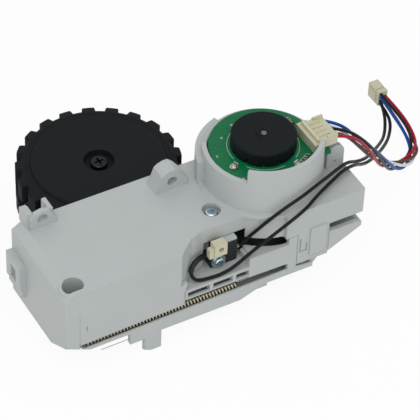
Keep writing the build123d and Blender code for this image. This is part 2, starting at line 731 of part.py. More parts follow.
def rod_y(x, z, y0, y1, radius, mode=Mode.ADD):
    """A round bar or bore along Y."""
    with BuildSketch(Plane((x, y1, z), x_dir=(1, 0, 0), z_dir=(0, -1, 0))) as end:
        Circle(radius)
    extrude(end.sketch, amount=y1 - y0, mode=mode)


def wall_face(points, y):
    """A face in a vertical plane facing the front, drawn from points of X and Z."""
    with BuildSketch(Plane((0, y, 0), x_dir=(1, 0, 0), z_dir=(0, -1, 0))) as face:
        with BuildLine():
            Polyline(*points, close=True)
        make_face()
    return face.sketch


def end_face(points, x):
    """A face in a vertical plane facing right, drawn from points of Y and Z."""
    with BuildSketch(Plane((x, 0, 0), x_dir=(0, 1, 0), z_dir=(1, 0, 0))) as face:
        with BuildLine():
            Polyline(*points, close=True)
        make_face()
    return face.sketch


def plan_face(points, z):
    """A level face drawn from points of X and Y."""
    with BuildSketch(Plane.XY.offset(z)) as face:
        with BuildLine():
            Polyline(*points, close=True)
        make_face()
    return face.sketch


SKIRT = [
    (-42.0, PLATE_BOTTOM),
    (-42.0, 14.9),
    (48.4, 16.6),
    (48.4, 19.6),
    (48.4, SEAM_RIGHT - 0.2),
    (CLIP_LEFT, SEAM_RIGHT - 0.2),
    (CLIP_LEFT, 16.4),
    (56.3, 15.6),
    (60.0, 15.5),
    (60.0, 13.3),
    (47.3, 13.5),
    (38.2, 13.3),
    (27.5, 9.3),
    (-7.3, 9.5),
    (-7.3, 0.4),
    (-14.5, 0.4),
    (-14.5, 7.8),
    (-20.8, 7.8),
    (-20.8, PLATE_BOTTOM),
]
with BuildPart() as base_shell:
    # floor plate
    extrude(
        plan_face(
            [
                (BASE_LEFT, REAR),
                (PIVOT_X, REAR),
                (PIVOT_X, FRONT_IN),
                (-41.9, FRONT_IN),
                (-41.9, -56.2),
                (BASE_LEFT, -53.0),
            ],
            PLATE_BOTTOM,
        ),
        amount=PLATE,
    )
    with BuildSketch(place(PIVOT_X, PIVOT_Y, PLATE_BOTTOM)):
        Circle(BULGE_R)
    extrude(amount=PLATE)
    # front strip, with the two feet that hang from it
    extrude(wall_face(SKIRT, FRONT), amount=-STRIP)
    box(-41.9, 48.4, FRONT + STRIP, FRONT_IN, PLATE_BOTTOM, PLATE_TOP)
    box(-20.8, -14.5, FRONT, FRONT_IN, 7.8, PLATE_BOTTOM)
    box(-14.5, -7.3, FRONT, FRONT_IN, 0.4, PLATE_BOTTOM)
    box(-7.3, 28.0, FRONT, FRONT_IN, SKIRT_BOTTOM + 0.1, PLATE_BOTTOM)
    box(48.4, CLIP_LEFT, FRONT, FRONT_IN, PLATE_BOTTOM + 2.6, SEAM_RIGHT - 0.2)
    # wall behind the cover's clip, and the floor that slopes up to the right end
    extrude(
        wall_face(
            [
                (CLIP_LEFT, 13.6),
                (60.0, 15.5),
                (WALL_CORNER + 1.6, 19.4),
                (WALL_CORNER + 1.6, BASE_RIGHT_TOP),
                (WALL_CORNER, SEAM_RIGHT - 0.2),
                (CLIP_LEFT - 1.0, SEAM_RIGHT - 0.2),
                (CLIP_LEFT - 1.0, 13.6),
            ],
            FRONT + 1.8,
        ),
        amount=-1.6,
    )
    extrude(
        wall_face(
            [
                (WALL_CORNER, 18.65),
                (WALL_CORNER + 1.6, 19.4),
                (RIGHT - 0.5, 26.0),
                (RIGHT - 0.5, BASE_RIGHT_TOP - 0.7),
                (RIGHT - 3.5, BASE_RIGHT_TOP),
                (WALL_CORNER, BASE_RIGHT_TOP),
            ],
            FRONT,
        ),
        amount=-WALL,
    )
    extrude(
        wall_face(
            [
                (60.0, 15.5),
                (WALL_CORNER + 1.6, 19.4),
                (RIGHT - 0.5, 26.0),
                (RIGHT - 0.5, BASE_RIGHT_TOP - 0.7),
                (RIGHT - 2.0, BASE_RIGHT_TOP - 0.7),
                (WALL_CORNER, 21.2),
                (60.0, 17.6),
            ],
            FRONT + 1.8,
        ),
        amount=REAR - FRONT - 2.8,
        dir=(0, 1, 0),
    )
    extrude(
        wall_face(
            [
                (60.0, 15.5),
                (WALL_CORNER + 1.6, 19.4),
                (RIGHT - 0.5, 26.0),
                (RIGHT - 0.5, BASE_RIGHT_TOP - 0.7),
                (RIGHT - 3.5, BASE_RIGHT_TOP),
                (60.0, BASE_RIGHT_TOP),
            ],
            REAR - WALL,
        ),
        amount=-WALL,
    )
    # ring wall that holds the ramp on the floor plate
    with BuildSketch(place(PIVOT_X, PIVOT_Y, PLATE_BOTTOM)):
        Circle(BULGE_R)
        Circle(ARC_IN, mode=Mode.SUBTRACT)
        with Locations((-BULGE_R + 9.4, 0)):
            Rectangle(2 * BULGE_R, 2 * BULGE_R, mode=Mode.SUBTRACT)
    extrude(amount=BASE_RIGHT_TOP - PLATE_BOTTOM)
    box(40.0, 61.0, FRONT, FRONT_IN, PLATE_BOTTOM, 13.0, mode=Mode.SUBTRACT)
    with BuildSketch(place(PIVOT_X, PIVOT_Y, PLATE_TOP)):
        Circle(ARC_IN)
    extrude(amount=SEAM_RIGHT, mode=Mode.SUBTRACT)
    # block of the switch
    box(2.9, 14.0, FRONT, FRONT + 9.0, SHELF - SHELF_PLATE, SHELF)
    box(14.0, 32.2, FRONT, -51.5, SHELF - SHELF_PLATE, SHELF)
    box(2.9, 32.2, FRONT + 3.0, FRONT + 4.2, 20.7, SHELF)
    box(2.9, 32.2, FRONT, FRONT + 1.2, 20.7, 21.4)
    for x0, x1 in [(2.9, 4.0), (13.6, 15.1), (23.7, 25.2), (31.0, 32.2)]:
        box(x0, x1, FRONT, FRONT + 4.2, 20.7, SHELF)
    box(14.0, 28.2, -53.45, -51.5, PLATE_TOP, 38.0)
    box(22.6, 28.4, -59.8, -51.5, SWITCH_HEIGHT + SHELF + 0.3, 38.0)
    with BuildSketch(Plane.XY.offset(PLATE_TOP)):
        with Locations(POST_AT):
            Circle(POST_R)
    extrude(amount=WELL_FLOOR - 1.5 - SEAT_GAP - PLATE_TOP)
    with BuildSketch(Plane.XY.offset(WELL_FLOOR - 14.0)):
        with Locations(POST_AT):
            Circle(1.3)
    extrude(amount=14.0, mode=Mode.SUBTRACT)
    # block over the spring's hook
    extrude(
        wall_face([(31.0, 20.2), (48.6, 19.6), (48.6, BLOCK_TOP), (31.0, BLOCK_TOP)], FRONT),
        amount=-1.6,
    )
    with BuildSketch(Plane.XY.offset(BLOCK_TOP - 1.3)):
        with BuildLine():
            Polyline(
                (32.2, FRONT), (48.6, FRONT), (48.6, -50.0), (34.2, -50.0), (34.2, -58.0), (32.2, -58.0), close=True
            )
        make_face()
        with Locations((PIVOT_X, PIVOT_Y)):
            Circle(BLOCK_ARC_R, mode=Mode.SUBTRACT)
    extrude(amount=1.3)
    box(30.9, 32.2, FRONT, -58.2, 20.7, BLOCK_TOP - 1.0)
    rod_y(*SWITCH_SCREW, -54.0, -51.0, 1.25, mode=Mode.SUBTRACT)
    # room for the horn and the spring's hook at the end of the swing
    box(WALL_NOTCH_LEFT, WALL_NOTCH_RIGHT, FRONT + 1.4, FRONT + 3.5, FLANGE_TOP - 0.3, FLANGE_TOP + 5.0, mode=Mode.SUBTRACT)
    # spring's anchor
    box(-41.9, COIL_LEFT - 0.9, FRONT + 3.4, -56.0, PLATE_TOP - 0.1, PLATE_TOP + 1.2)
    with BuildSketch(Plane.XY.offset(PLATE_TOP)):
        with Locations(ANCHOR_AT):
            Circle(0.8)
    extrude(amount=5.0)
    with BuildSketch(Plane.XY.offset(PLATE_BOTTOM)):
        with Locations(BOTTOM_SCREW_AT):
            Circle(1.4)
    extrude(amount=PLATE, mode=Mode.SUBTRACT)
    # way of the hub ring and of the axle boss
    with BuildSketch(place(PIVOT_X, PIVOT_Y, PLATE_BOTTOM)):
        Circle(HUB_RING_R + RUN_GAP)
    extrude(amount=PLATE, mode=Mode.SUBTRACT)
    with BuildSketch(Plane.XY.offset(PLATE_BOTTOM)):
        SlotArc(CenterArc((PIVOT_X, PIVOT_Y), ARM_REACH, TO_WHEEL - 3, SWING + 3), 2 * (AXLE_BOSS_R + 0.8))
    extrude(amount=PLATE, mode=Mode.SUBTRACT)
    extrude(
        end_face([(FRONT - 1, FRONT_LIP - 2.0), (FRONT - 1, FRONT_LIP), (FRONT, FRONT_LIP),
                  (FRONT + 2.6, PLATE_BOTTOM), (FRONT + 2.6, PLATE_BOTTOM - 1)], -42.0),
        amount=21.2,
        mode=Mode.SUBTRACT,
    )
    split(bisect_by=CORNER_CUT, keep=Keep.TOP)
export(base_shell.part, "base_shell")

# Top cover: lid of the housing with the motor's cup, the mounting eyes and the clips
BORE_FLAT = 3.3
CORNER_BOTTOM = 19.5
POST_GAP = SEAT_GAP
RIM_FROM = 225.0
RIM_TO = 321.0
NOTCH_TO = 510.0
NOTCH_Z = 57.2
SLEEVE_FLOOR = MOTOR_FRONT - SEAT_GAP
MOTOR_SCREW_AT = 8.5


def cover_plan(inset):
    """The housing in plan, drawn in by inset."""
    with BuildSketch() as plan:
        with BuildLine():
            Polyline(
                (LEFT + inset, REAR - inset),
                (RIGHT - inset, REAR - inset),
                (RIGHT - inset, FRONT + inset),
                (LEFT + inset, FRONT + inset),
                close=True,
            )
        make_face()
        with Locations((PIVOT_X, PIVOT_Y)):
            Circle(BULGE_R - inset)
    return plan.sketch


def ring_sector(inner, outer, start, end, z):
    """Part of a ring round the motor axis, between two angles."""
    middle = radians((start + end) / 2)
    span = radians(end - start) / 2
    reach = 2.5 * outer
    wedge = [(0, 0)]
    for k in (-1, -0.5, 0, 0.5, 1):
        a = middle + k * span
        wedge.append((reach * cos(a), reach * sin(a)))
    with BuildSketch(place(PIVOT_X, PIVOT_Y, z)) as sector:
        Circle(outer)
        Circle(inner, mode=Mode.SUBTRACT)
        with BuildLine():
            Polyline(*wedge, close=True)
        make_face(mode=Mode.INTERSECT)
    return sector.sketch


# Sloped corner of the cover, moulded as a skin between two parallel planes
with BuildPart() as corner_skin:
    box(LEFT, -42.1, FRONT, -45.0, PLATE_BOTTOM, 24.0)
    split(bisect_by=CORNER_CUT, keep=Keep.TOP)
    split(bisect_by=CORNER_CUT.offset(CORNER_SKIN), keep=Keep.BOTTOM)

with BuildPart() as top_cover:
    extrude(on_plane(cover_plan(0), SEAM_RIGHT), amount=TOP - SEAM_RIGHT)
    box(LEFT, -42.1, FRONT, REAR, PLATE_BOTTOM, SEAM_RIGHT)
    extrude(
        end_face([(FRONT - 1, TOP - 2.4), (REAR + 1, TOP - 2.4), (REAR + 1, TOP + 1), (FRONT - 1, TOP + 1)], LEFT - 1),
        amount=0.9,
        mode=Mode.SUBTRACT,
    )
    extrude(
        wall_face([(LEFT - 1, TOP - 3.0), (LEFT + 4.0, TOP), (LEFT + 4.0, TOP + 1), (LEFT - 1, TOP + 1)], FRONT - 1),
        amount=-(REAR - FRONT + 2),
        mode=Mode.SUBTRACT,
    )
    corners = top_cover.edges().filter_by(Axis.Z).filter_by(lambda e: e.center().Y < FRONT + 1)
    fillet(corners, OUTER_FILLET)
    split(bisect_by=CORNER_CUT, keep=Keep.TOP)
    # room inside, open to the rear where the wheel stands out
    extrude(on_plane(cover_plan(WALL), PLATE_BOTTOM), amount=COVER_UNDER - PLATE_BOTTOM, mode=Mode.SUBTRACT)
    box(LEFT + WALL, 31.0, REAR - WALL - 1, REAR + 1, PLATE_BOTTOM - 1, COVER_UNDER, mode=Mode.SUBTRACT)
    add(corner_skin.part)
    # front wall over the spring's slot, with the hook by the pocket
    extrude(
        wall_face(
            [
                (-42.1, 17.6),
                (POCKET_LEFT + 0.4, 18.6),
                (2.7, 18.7),
                (2.7, 21.2),
                (2.6, 24.4),
                (3.8, 29.8),
                (POCKET_LEFT + 0.4, 28.8),
                (POCKET_LEFT + 0.4, SEAM_RIGHT + 1),
                (-42.2, SEAM_RIGHT + 1),
                (-42.2, 17.6),
            ],
            FRONT,
        ),
        amount=-WALL,
    )
    box(-44.0, -42.05, FRONT + OUTER_FILLET, FRONT_IN, 17.6, SEAM_RIGHT)
    box(2.7, 3.9, FRONT - 1, FRONT_IN + 1, 16.0, SHELF + 0.1, mode=Mode.SUBTRACT)
    # rear wall round the motor
    with BuildSketch(place(PIVOT_X, PIVOT_Y, PLATE_TOP + SEAT_GAP)):
        Circle(BULGE_R)
        Circle(ARC_IN, mode=Mode.SUBTRACT)
        with Locations((0, REAR - WALL - PIVOT_Y - BULGE_R)):
            Rectangle(3 * BULGE_R, 2 * BULGE_R, mode=Mode.SUBTRACT)
        with Locations((9.2 + BULGE_R, 0)):
            Rectangle(2 * BULGE_R, 3 * BULGE_R, mode=Mode.SUBTRACT)
    extrude(amount=SEAM_RIGHT - PLATE_TOP)
    # pocket of the switch
    with BuildSketch(Plane.XY.offset(SEAM_RIGHT - 1)):
        with BuildLine():
            Polyline(
                (POCKET_LEFT + 0.4, FRONT - 1),
                (POCKET_LEFT + 0.4, FRONT),
                (3.5, -63.5),
                (8.5, -59.5),
                (14.0, FRONT + POCKET_BACK),
                (POCKET_RIGHT, FRONT + POCKET_BACK),
                (POCKET_RIGHT, FRONT - 1),
                close=True,
            )
        make_face()
        with Locations((PIVOT_X, PIVOT_Y)):
            Circle(POCKET_ARC_R, mode=Mode.SUBTRACT)
    extrude(amount=TOP, mode=Mode.SUBTRACT)
    extrude(
        plan_face(
            [
                (-1.1, FRONT + 0.5),
                (-1.1, -64.0),
                (2.4, -62.3),
                (7.7, -58.1),
                (13.8, FRONT + POCKET_BACK + 1.6),
                (15.0, FRONT + POCKET_BACK + 1.6),
                (15.0, FRONT + POCKET_BACK),
                (14.0, FRONT + POCKET_BACK),
                (8.5, -59.5),
                (3.5, -63.5),
                (POCKET_LEFT + 0.4, FRONT + 0.5),
            ],
            SHELF + FIT_GAP,
        ),
        amount=COVER_UNDER - SHELF,
    )
    box(14.0, 34.0, FRONT + POCKET_BACK, FRONT + POCKET_BACK + 1.6, 38.3, COVER_UNDER + 0.5)
    extrude(
        ring_sector(POCKET_ARC_R - 1.6, POCKET_ARC_R, 226.0, 261.5, SEAM_RIGHT + 0.3),
        amount=COVER_UNDER - SEAM_RIGHT,
    )
    # clip plate at the front
    box(52.5, 66.5, FRONT, FRONT + 1.6, 17.5, SEAM_RIGHT + 1)
    box(57.8, 65.2, FRONT - 0.7, FRONT, 20.5, 34.5)
    box(53.4, 54.0, FRONT - 0.1, FRONT + 0.5, 24.0, 30.5, mode=Mode.SUBTRACT)
    box(53.4, 56.8, FRONT - 0.1, FRONT + 0.5, 23.4, 24.0, mode=Mode.SUBTRACT)
    box(56.2, 56.8, FRONT - 0.1, FRONT + 0.5, 24.0, 27.5, mode=Mode.SUBTRACT)
    box(-39.5, -39.1, FRONT - 0.1, FRONT + 0.4, 24.2, 26.8, mode=Mode.SUBTRACT)
    # corner bore and screw posts
    with BuildSketch(Plane.XY.offset(CORNER_BOTTOM)):
        with Locations((CORNER_X, CORNER_Y)):
            Circle(CORNER_HOLE_R + 1.4)
    extrude(amount=TOP - 1 - CORNER_BOTTOM)
    with BuildSketch(Plane.XY.offset(CORNER_BOTTOM + WALL)):
        with Locations((CORNER_X, CORNER_Y)):
            Circle(CORNER_HOLE_R)
        with Locations((CORNER_X, CORNER_Y - BORE_FLAT - CORNER_HOLE_R)):
            Rectangle(3 * CORNER_HOLE_R, 2 * CORNER_HOLE_R, mode=Mode.SUBTRACT)
    extrude(amount=TOP, mode=Mode.SUBTRACT)
    with BuildSketch(Plane.XY.offset(CORNER_BOTTOM - 1)):
        with Locations((CORNER_X, CORNER_Y)):
            Circle(CORNER_SCREW_R)
    extrude(amount=WALL + 2, mode=Mode.SUBTRACT)
    with BuildSketch(Plane.XY.offset(PLATE_TOP + POST_GAP)):
        with Locations(BOTTOM_SCREW_AT):
            Circle(3.0)
    extrude(amount=COVER_UNDER - PLATE_TOP)
    with BuildSketch(Plane.XY.offset(PLATE_TOP)):
        with Locations(BOTTOM_SCREW_AT):
            Circle(1.3)
    extrude(amount=14.0, mode=Mode.SUBTRACT)
    with BuildSketch(Plane.XY.offset(WELL_FLOOR - 1.5)):
        with Locations(POST_AT):
            Circle(WELL_R + 1.5)
    extrude(amount=TOP - 1 - WELL_FLOOR + 1.5)
    with BuildSketch(Plane.XY.offset(WELL_FLOOR)):
        with Locations(POST_AT):
            Circle(WELL_R)
    extrude(amount=TOP, mode=Mode.SUBTRACT)
    with BuildSketch(Plane.XY.offset(WELL_FLOOR - 3)):
        with Locations(POST_AT):
            Circle(1.7)
    extrude(amount=4, mode=Mode.SUBTRACT)
    # cup of the motor, its sleeve and the posts of the board
    with BuildSketch(place(PIVOT_X, PIVOT_Y, TOP - 1)):
        Circle(BULGE_R)
    extrude(amount=1.4)
    with BuildSketch(place(PIVOT_X, PIVOT_Y, TOP - 1)):
        Circle(CUP_R)
        Circle(CUP_R - CUP_WALL, mode=Mode.SUBTRACT)
    extrude(amount=LOW_RIM - TOP + 1)
    extrude(ring_sector(CUP_R - CUP_WALL, CUP_R, RIM_FROM, RIM_TO, LOW_RIM - 1), amount=RIM_TOP - LOW_RIM + 1)
    extrude(ring_sector(CUP_R - 1, CUP_R + 2.4, 106.0, 168.0, TOP), amount=56.5 - TOP)
    extrude(ring_sector(CUP_R - 3, CUP_R + 3, RIM_TO, NOTCH_TO, NOTCH_Z), amount=RIM_TOP, mode=Mode.SUBTRACT)
    with BuildSketch(place(PIVOT_X, PIVOT_Y, SLEEVE_FLOOR - SLEEVE_END)):
        Circle(SLEEVE_OUT)
    extrude(amount=TOP - 1 - SLEEVE_FLOOR + SLEEVE_END)
    with BuildSketch(place(PIVOT_X, PIVOT_Y, SLEEVE_FLOOR)):
        Circle(SLEEVE_R)
    extrude(amount=TOP, mode=Mode.SUBTRACT)
    with BuildSketch(place(PIVOT_X, PIVOT_Y, SLEEVE_FLOOR - SLEEVE_END)):
        Circle(MOTOR_BOSS_R + FIT_GAP)
        with Locations((MOTOR_SCREW_AT, 0), (-MOTOR_SCREW_AT, 0)):
            Circle(1.4)
    extrude(amount=SLEEVE_END + 1, mode=Mode.SUBTRACT)
    with BuildSketch(place(PIVOT_X, PIVOT_Y, TOP - 0.5)):
        with PolarLocations(19.4, 4, start_angle=20):
            Circle(1.5)
    extrude(amount=BOARD_TOP - BOARD - SEAT_GAP - TOP + 0.5)
    # mounting eyes
    extrude(
        wall_face(
            [
                (7.8, TOP - 0.5),
                (7.8, TOP),
                (10.6, 53.3),
                (12.0, 54.4),
                (14.1, 55.1),
                (16.4, 55.2),
                (18.8, 53.0),
                (21.9, 48.8),
                (22.0, TOP - 0.5),
            ],
            REAR - 11.0,
        ),
        amount=-7.0,
    )
    rod_y(15.1, 49.7, REAR - 12.0, REAR - 3.0, EAR_HOLE_R, mode=Mode.SUBTRACT)
    extrude(
        wall_face(
            [
                (-43.3, TOP - 0.5),
                (-43.3, 50.0),
                (-41.5, 52.4),
                (-38.3, 53.2),
                (-35.2, 52.4),
                (-32.6, 48.6),
                (-32.4, TOP - 0.5),
            ],
            REAR - 6.5,
        ),
        amount=-2.2,
    )
    extrude(
        end_face([(REAR - 5, TOP - 1), (REAR + 1.5, TOP), (REAR + 1.5, 51.6), (REAR - 0.5, 52.6), (REAR - 5, 52.6)], -44.4),
        amount=2.6,
    )
    box(-43.4, -41.9, REAR - 6.5, REAR - 4.3, TOP - 0.5, 50.0)
    box(-35.0, -33.2, REAR - 5.0, REAR + 1.5, TOP - 1, 51.9)
    rod_y(-38.3, 49.5, REAR - 8.0, REAR - 3.0, EAR_HOLE_R, mode=Mode.SUBTRACT)
    # clip at the left end and tab at the right end
    box(LEFT - 2.6, LEFT + 0.5, REAR - 11.5, REAR, 21.0, 33.0)
    box(LEFT - 1.6, LEFT + 0.5, REAR - 11.5, REAR, 17.0, 21.0)
    box(LEFT - 3, LEFT - 1.0, REAR - 8.0, REAR - 3.7, 22.5, 29.0, mode=Mode.SUBTRACT)
    with BuildSketch(Plane((0, -50.0, 0), x_dir=(1, 0, 0), z_dir=(0, -1, 0))):
        with BuildLine():
            Polyline((73.8, TOP - 0.5), (73.8, 52.5), (81.4, 52.5), (81.4, TOP - 0.5), close=True)
        make_face()
        with Locations((77.6, 52.8)):
            Circle(3.8)
    extrude(amount=-2.2)
    rod_y(77.5, 48.5, -51.0, -47.0, 0.6, mode=Mode.SUBTRACT)
export(top_cover.part, "top_cover")

# Screws of the housing: one from above, one from below
with BuildPart() as housing_screws:
    add(screw(POST_AT[0], POST_AT[1], WELL_FLOOR + SEAT_GAP, 2.65, 1.9, 1.25, 12.0))
    add(screw(BOTTOM_SCREW_AT[0], BOTTOM_SCREW_AT[1], PLATE_BOTTOM - SEAT_GAP, 2.65, 1.9, 1.25, 12.0, direction=-1))
export(housing_screws.part, "housing_screws")

# Motor: can, rear cap and the two screws that hold it
with BuildPart() as motor_can:
    with BuildSketch(place(PIVOT_X, PIVOT_Y, MOTOR_FRONT)):
        Circle(MOTOR_R)
    extrude(amount=MOTOR_LENGTH - MOTOR_CAP_LENGTH)
    chamfer(motor_can.edges().group_by(Axis.Z)[0], 0.6)
    with BuildSketch(place(PIVOT_X, PIVOT_Y, SLEEVE_FLOOR - SLEEVE_END)):
        Circle(MOTOR_BOSS_R)
    extrude(amount=SLEEVE_END + 1)
    with BuildSketch(place(PIVOT_X, PIVOT_Y, SLEEVE_FLOOR - SLEEVE_END)):
        Circle(MOTOR_SHAFT_R + SLIDE_GAP)
    extrude(amount=MOTOR_LENGTH, mode=Mode.SUBTRACT)
    with BuildSketch(place(PIVOT_X, PIVOT_Y, MOTOR_FRONT)):
        with Locations((MOTOR_SCREW_AT, 0), (-MOTOR_SCREW_AT, 0)):
            Circle(1.25)
    extrude(amount=4.0, mode=Mode.SUBTRACT)
export(motor_can.part, "motor_can")

with BuildPart() as motor_cap:
    with BuildSketch(place(PIVOT_X, PIVOT_Y, MOTOR_REAR - MOTOR_CAP_LENGTH)):
        Circle(MOTOR_R)
    extrude(amount=MOTOR_CAP_LENGTH)
    fillet(motor_cap.edges().group_by(Axis.Z)[-1], 0.8)
    with BuildSketch(place(PIVOT_X, PIVOT_Y, MOTOR_REAR - MOTOR_CAP_LENGTH)):
        Circle(MOTOR_SHAFT_R + SLIDE_GAP)
    extrude(amount=MOTOR_CAP_LENGTH, mode=Mode.SUBTRACT)
export(motor_cap.part, "motor_end_cap")

with BuildPart() as motor_screws:
    for side in (-MOTOR_SCREW_AT, MOTOR_SCREW_AT):
        add(screw(PIVOT_X + side, PIVOT_Y, SLEEVE_FLOOR - SLEEVE_END - SEAT_GAP, 2.2, 1.3, 1.2, 5.0, direction=-1))
export(motor_screws.part, "motor_screws")

# Motor terminals: brass strips bent out of the cap and up through the board
LUG_AT = MOTOR_R + 2.6
LUG_ANGLES = (200.0, 290.0)
BOARD_BOTTOM = BOARD_TOP - BOARD
with BuildPart() as motor_lugs:
    for angle in LUG_ANGLES:
        with BuildSketch(Plane((PIVOT_X, PIVOT_Y, 55.0)).rotated((0, 0, angle))):
            with Locations(((MOTOR_R + LUG_AT) / 2, 0)):
                Rectangle(LUG_AT - MOTOR_R, 2.2)
        extrude(amount=0.5)
        with BuildSketch(Plane((PIVOT_X, PIVOT_Y, 55.0)).rotated((0, 0, angle))):
            with Locations((LUG_AT - 0.25, 0)):
                Rectangle(0.5, 2.2)
        extrude(amount=BOARD_TOP + 1.8 - 55.0)
        with BuildSketch(Plane((PIVOT_X, PIVOT_Y, BOARD_TOP)).rotated((0, 0, angle))):
            with Locations((LUG_AT + 0.9, 0)):
                Ellipse(2.0, 1.5)
        extrude(amount=0.9)
export(motor_lugs.part, "motor_terminals")

# Encoder board
BOARD_R = 21.3
with BuildPart() as encoder_board:
    with BuildSketch(place(PIVOT_X, PIVOT_Y, BOARD_BOTTOM)):
        Circle(BOARD_R)
        with BuildLine():
            Polyline((10, -8), (16.6, -13.2), (21.7, -14.8), (22.8, -9.0), (20.0, 0), (10, 0), close=True)
        make_face()
        Circle(6.0, mode=Mode.SUBTRACT)
    extrude(amount=BOARD)
    for angle in LUG_ANGLES:
        with BuildSketch(Plane((PIVOT_X, PIVOT_Y, BOARD_BOTTOM)).rotated((0, 0, angle))):
            with Locations((LUG_AT - 0.25, 0)):
                Rectangle(0.8, 2.5)
        extrude(amount=BOARD, mode=Mode.SUBTRACT)
export(encoder_board.part, "encoder_board")

# Light gates that look through the skirt of the drum
GATE_ANGLES = (17.0, 80.0)
with BuildPart() as light_gates:
    for angle in GATE_ANGLES:
        turned = Plane((PIVOT_X, PIVOT_Y, BOARD_TOP)).rotated((0, 0, angle))
        with BuildSketch(turned):
            with Locations((12.4, 0)):
                Rectangle(6.4, 4.0)
        extrude(amount=0.3)
        for r in (10.2, 14.6):
            with BuildSketch(turned):
                with Locations((r, 0)):
                    Rectangle(1.8, 4.0)
            extrude(amount=3.2)
export(light_gates.part, "light_gates")

# Chip resistors and capacitors
CHIP_AT = [(62.7, -52.6, 27), (60.0, -54.0, 27), (44.5, -58.0, 0), (62.5, -26.5, 50), (66.5, -31.0, 60)]
with BuildPart() as chip_parts:
    for x, y, turn in CHIP_AT:
        with BuildSketch(Plane((x, y, BOARD_TOP)).rotated((0, 0, turn))):
            Rectangle(2.0, 1.25)
        extrude(amount=0.55)
export(chip_parts.part, "chip_parts")

# Board header and the plug pushed into it
HEADER_X = 65.8
HEADER_Y = -45.75
WAYS = 5
WAY_PITCH = 2.5
HEADER_HALF = WAYS * WAY_PITCH / 2 + 1.0
PLUG_HALF = WAYS * WAY_PITCH / 2
PLUG_FACE = 76.5
PLUG_BOTTOM = BOARD_TOP + 0.8 + SEAT_GAP
PLUG_TOP = 64.4
WIRE_OUT_Z = 62.7
with BuildPart() as board_header:
    box(HEADER_X, 70.0, HEADER_Y - HEADER_HALF, HEADER_Y + HEADER_HALF, BOARD_TOP, 63.8)
    box(67.3, 71.0, HEADER_Y - PLUG_HALF - 0.1, HEADER_Y + PLUG_HALF + 0.1, BOARD_TOP + 0.8, 65.0, mode=Mode.SUBTRACT)
export(board_header.part, "board_header")

with BuildPart() as board_plug:
    box(67.3 + SEAT_GAP, PLUG_FACE, HEADER_Y - PLUG_HALF, HEADER_Y + PLUG_HALF, PLUG_BOTTOM, PLUG_TOP)
    for k in range(WAYS - 1):
        y = HEADER_Y + (k - 1.5) * WAY_PITCH
        box(67.9, 74.0, y - 0.35, y + 0.35, PLUG_TOP, PLUG_TOP + 0.6)
    box(67.32, 68.7, HEADER_Y - PLUG_HALF, HEADER_Y + PLUG_HALF, PLUG_TOP, PLUG_TOP + 0.9)
    for side in (-1, 1):
        y = HEADER_Y + side * (PLUG_HALF - 0.5)
        box(72.0, PLUG_FACE, y - 0.5, y + 0.5, PLUG_TOP, PLUG_TOP + 0.9)
export(board_plug.part, "board_plug")

# Micro switch with its plunger, connector, terminals and screw
SWITCH_BOTTOM = SHELF + SEAT_GAP
SWITCH_BACK = SWITCH_FRONT + SWITCH_DEPTH
SWITCH_RIGHT = SWITCH_X + SWITCH_LENGTH
with BuildPart() as switch_body:
    box(SWITCH_X, SWITCH_RIGHT, SWITCH_FRONT, SWITCH_BACK, SWITCH_BOTTOM, SWITCH_BOTTOM + SWITCH_HEIGHT)
    box(SWITCH_X - 2.2, SWITCH_X, SWITCH_FRONT, SWITCH_BACK, SWITCH_BOTTOM, SWITCH_BOTTOM + 4.6)
    chamfer(switch_body.edges().filter_by(Axis.Y).group_by(Axis.X)[-1], 0.5)
    with BuildSketch(Plane((PLUNGER_X, SWITCH_MIDDLE_Y, PLUNGER_Z), x_dir=(0, 1, 0), z_dir=(-1, 0, 0))):
        Circle(PLUNGER_R + SLIDE_GAP)
    extrude(amount=PLUNGER_X - SWITCH_RIGHT + 3.5, mode=Mode.SUBTRACT)
    rod_y(SWITCH_SCREW[0], SWITCH_SCREW[1], SWITCH_FRONT - 1, SWITCH_BACK + 1, 1.3, mode=Mode.SUBTRACT)
export(switch_body.part, "switch_body")

with BuildPart() as switch_plunger:
    with BuildSketch(Plane((PLUNGER_X, SWITCH_MIDDLE_Y, PLUNGER_Z), x_dir=(0, 1, 0), z_dir=(-1, 0, 0))):
        Circle(PLUNGER_R)
    extrude(amount=PLUNGER_X - SWITCH_RIGHT + 2.0)
    fillet(switch_plunger.edges().group_by(Axis.X)[-1], PLUNGER_R - 0.02)
export(switch_plunger.part, "switch_plunger")

with BuildPart() as switch_screw:
    with BuildSketch(Plane((SWITCH_SCREW[0], SWITCH_FRONT - SEAT_GAP, SWITCH_SCREW[1]), x_dir=(1, 0, 0), z_dir=(0, -1, 0))):
        Circle(3.0)
    extrude(amount=0.5)
    with BuildSketch(Plane((SWITCH_SCREW[0], SWITCH_FRONT - SEAT_GAP - 0.5, SWITCH_SCREW[1]), x_dir=(1, 0, 0), z_dir=(0, -1, 0))):
        Circle(2.3)
    extrude(amount=1.6)
    fillet(switch_screw.edges().group_by(Axis.Y)[0], 0.7)
    with BuildSketch(Plane((SWITCH_SCREW[0], SWITCH_FRONT - 2.2, SWITCH_SCREW[1]), x_dir=(1, 0, 0), z_dir=(0, -1, 0))):
        Rectangle(2.6, 0.6)
        Rectangle(0.6, 2.6)
    extrude(amount=-1.2, mode=Mode.SUBTRACT)
    rod_y(SWITCH_SCREW[0], SWITCH_SCREW[1], SWITCH_FRONT - 0.5, -51.8, 1.2)
export(switch_screw.part, "switch_screw")

with BuildPart() as switch_connector:
    box(16.8, 22.2, -63.4, SWITCH_FRONT - SEAT_GAP, 34.8, 40.6)
    box(15.0, 16.8, -62.6, -60.2, 34.0, 38.4)
    box(16.8, 19.2, -62.2, SWITCH_FRONT - SEAT_GAP, 33.2, 34.8)
    rod_y(19.7, 37.9, -64.0, -61.0, 1.1, mode=Mode.SUBTRACT)
export(switch_connector.part, "switch_connector")

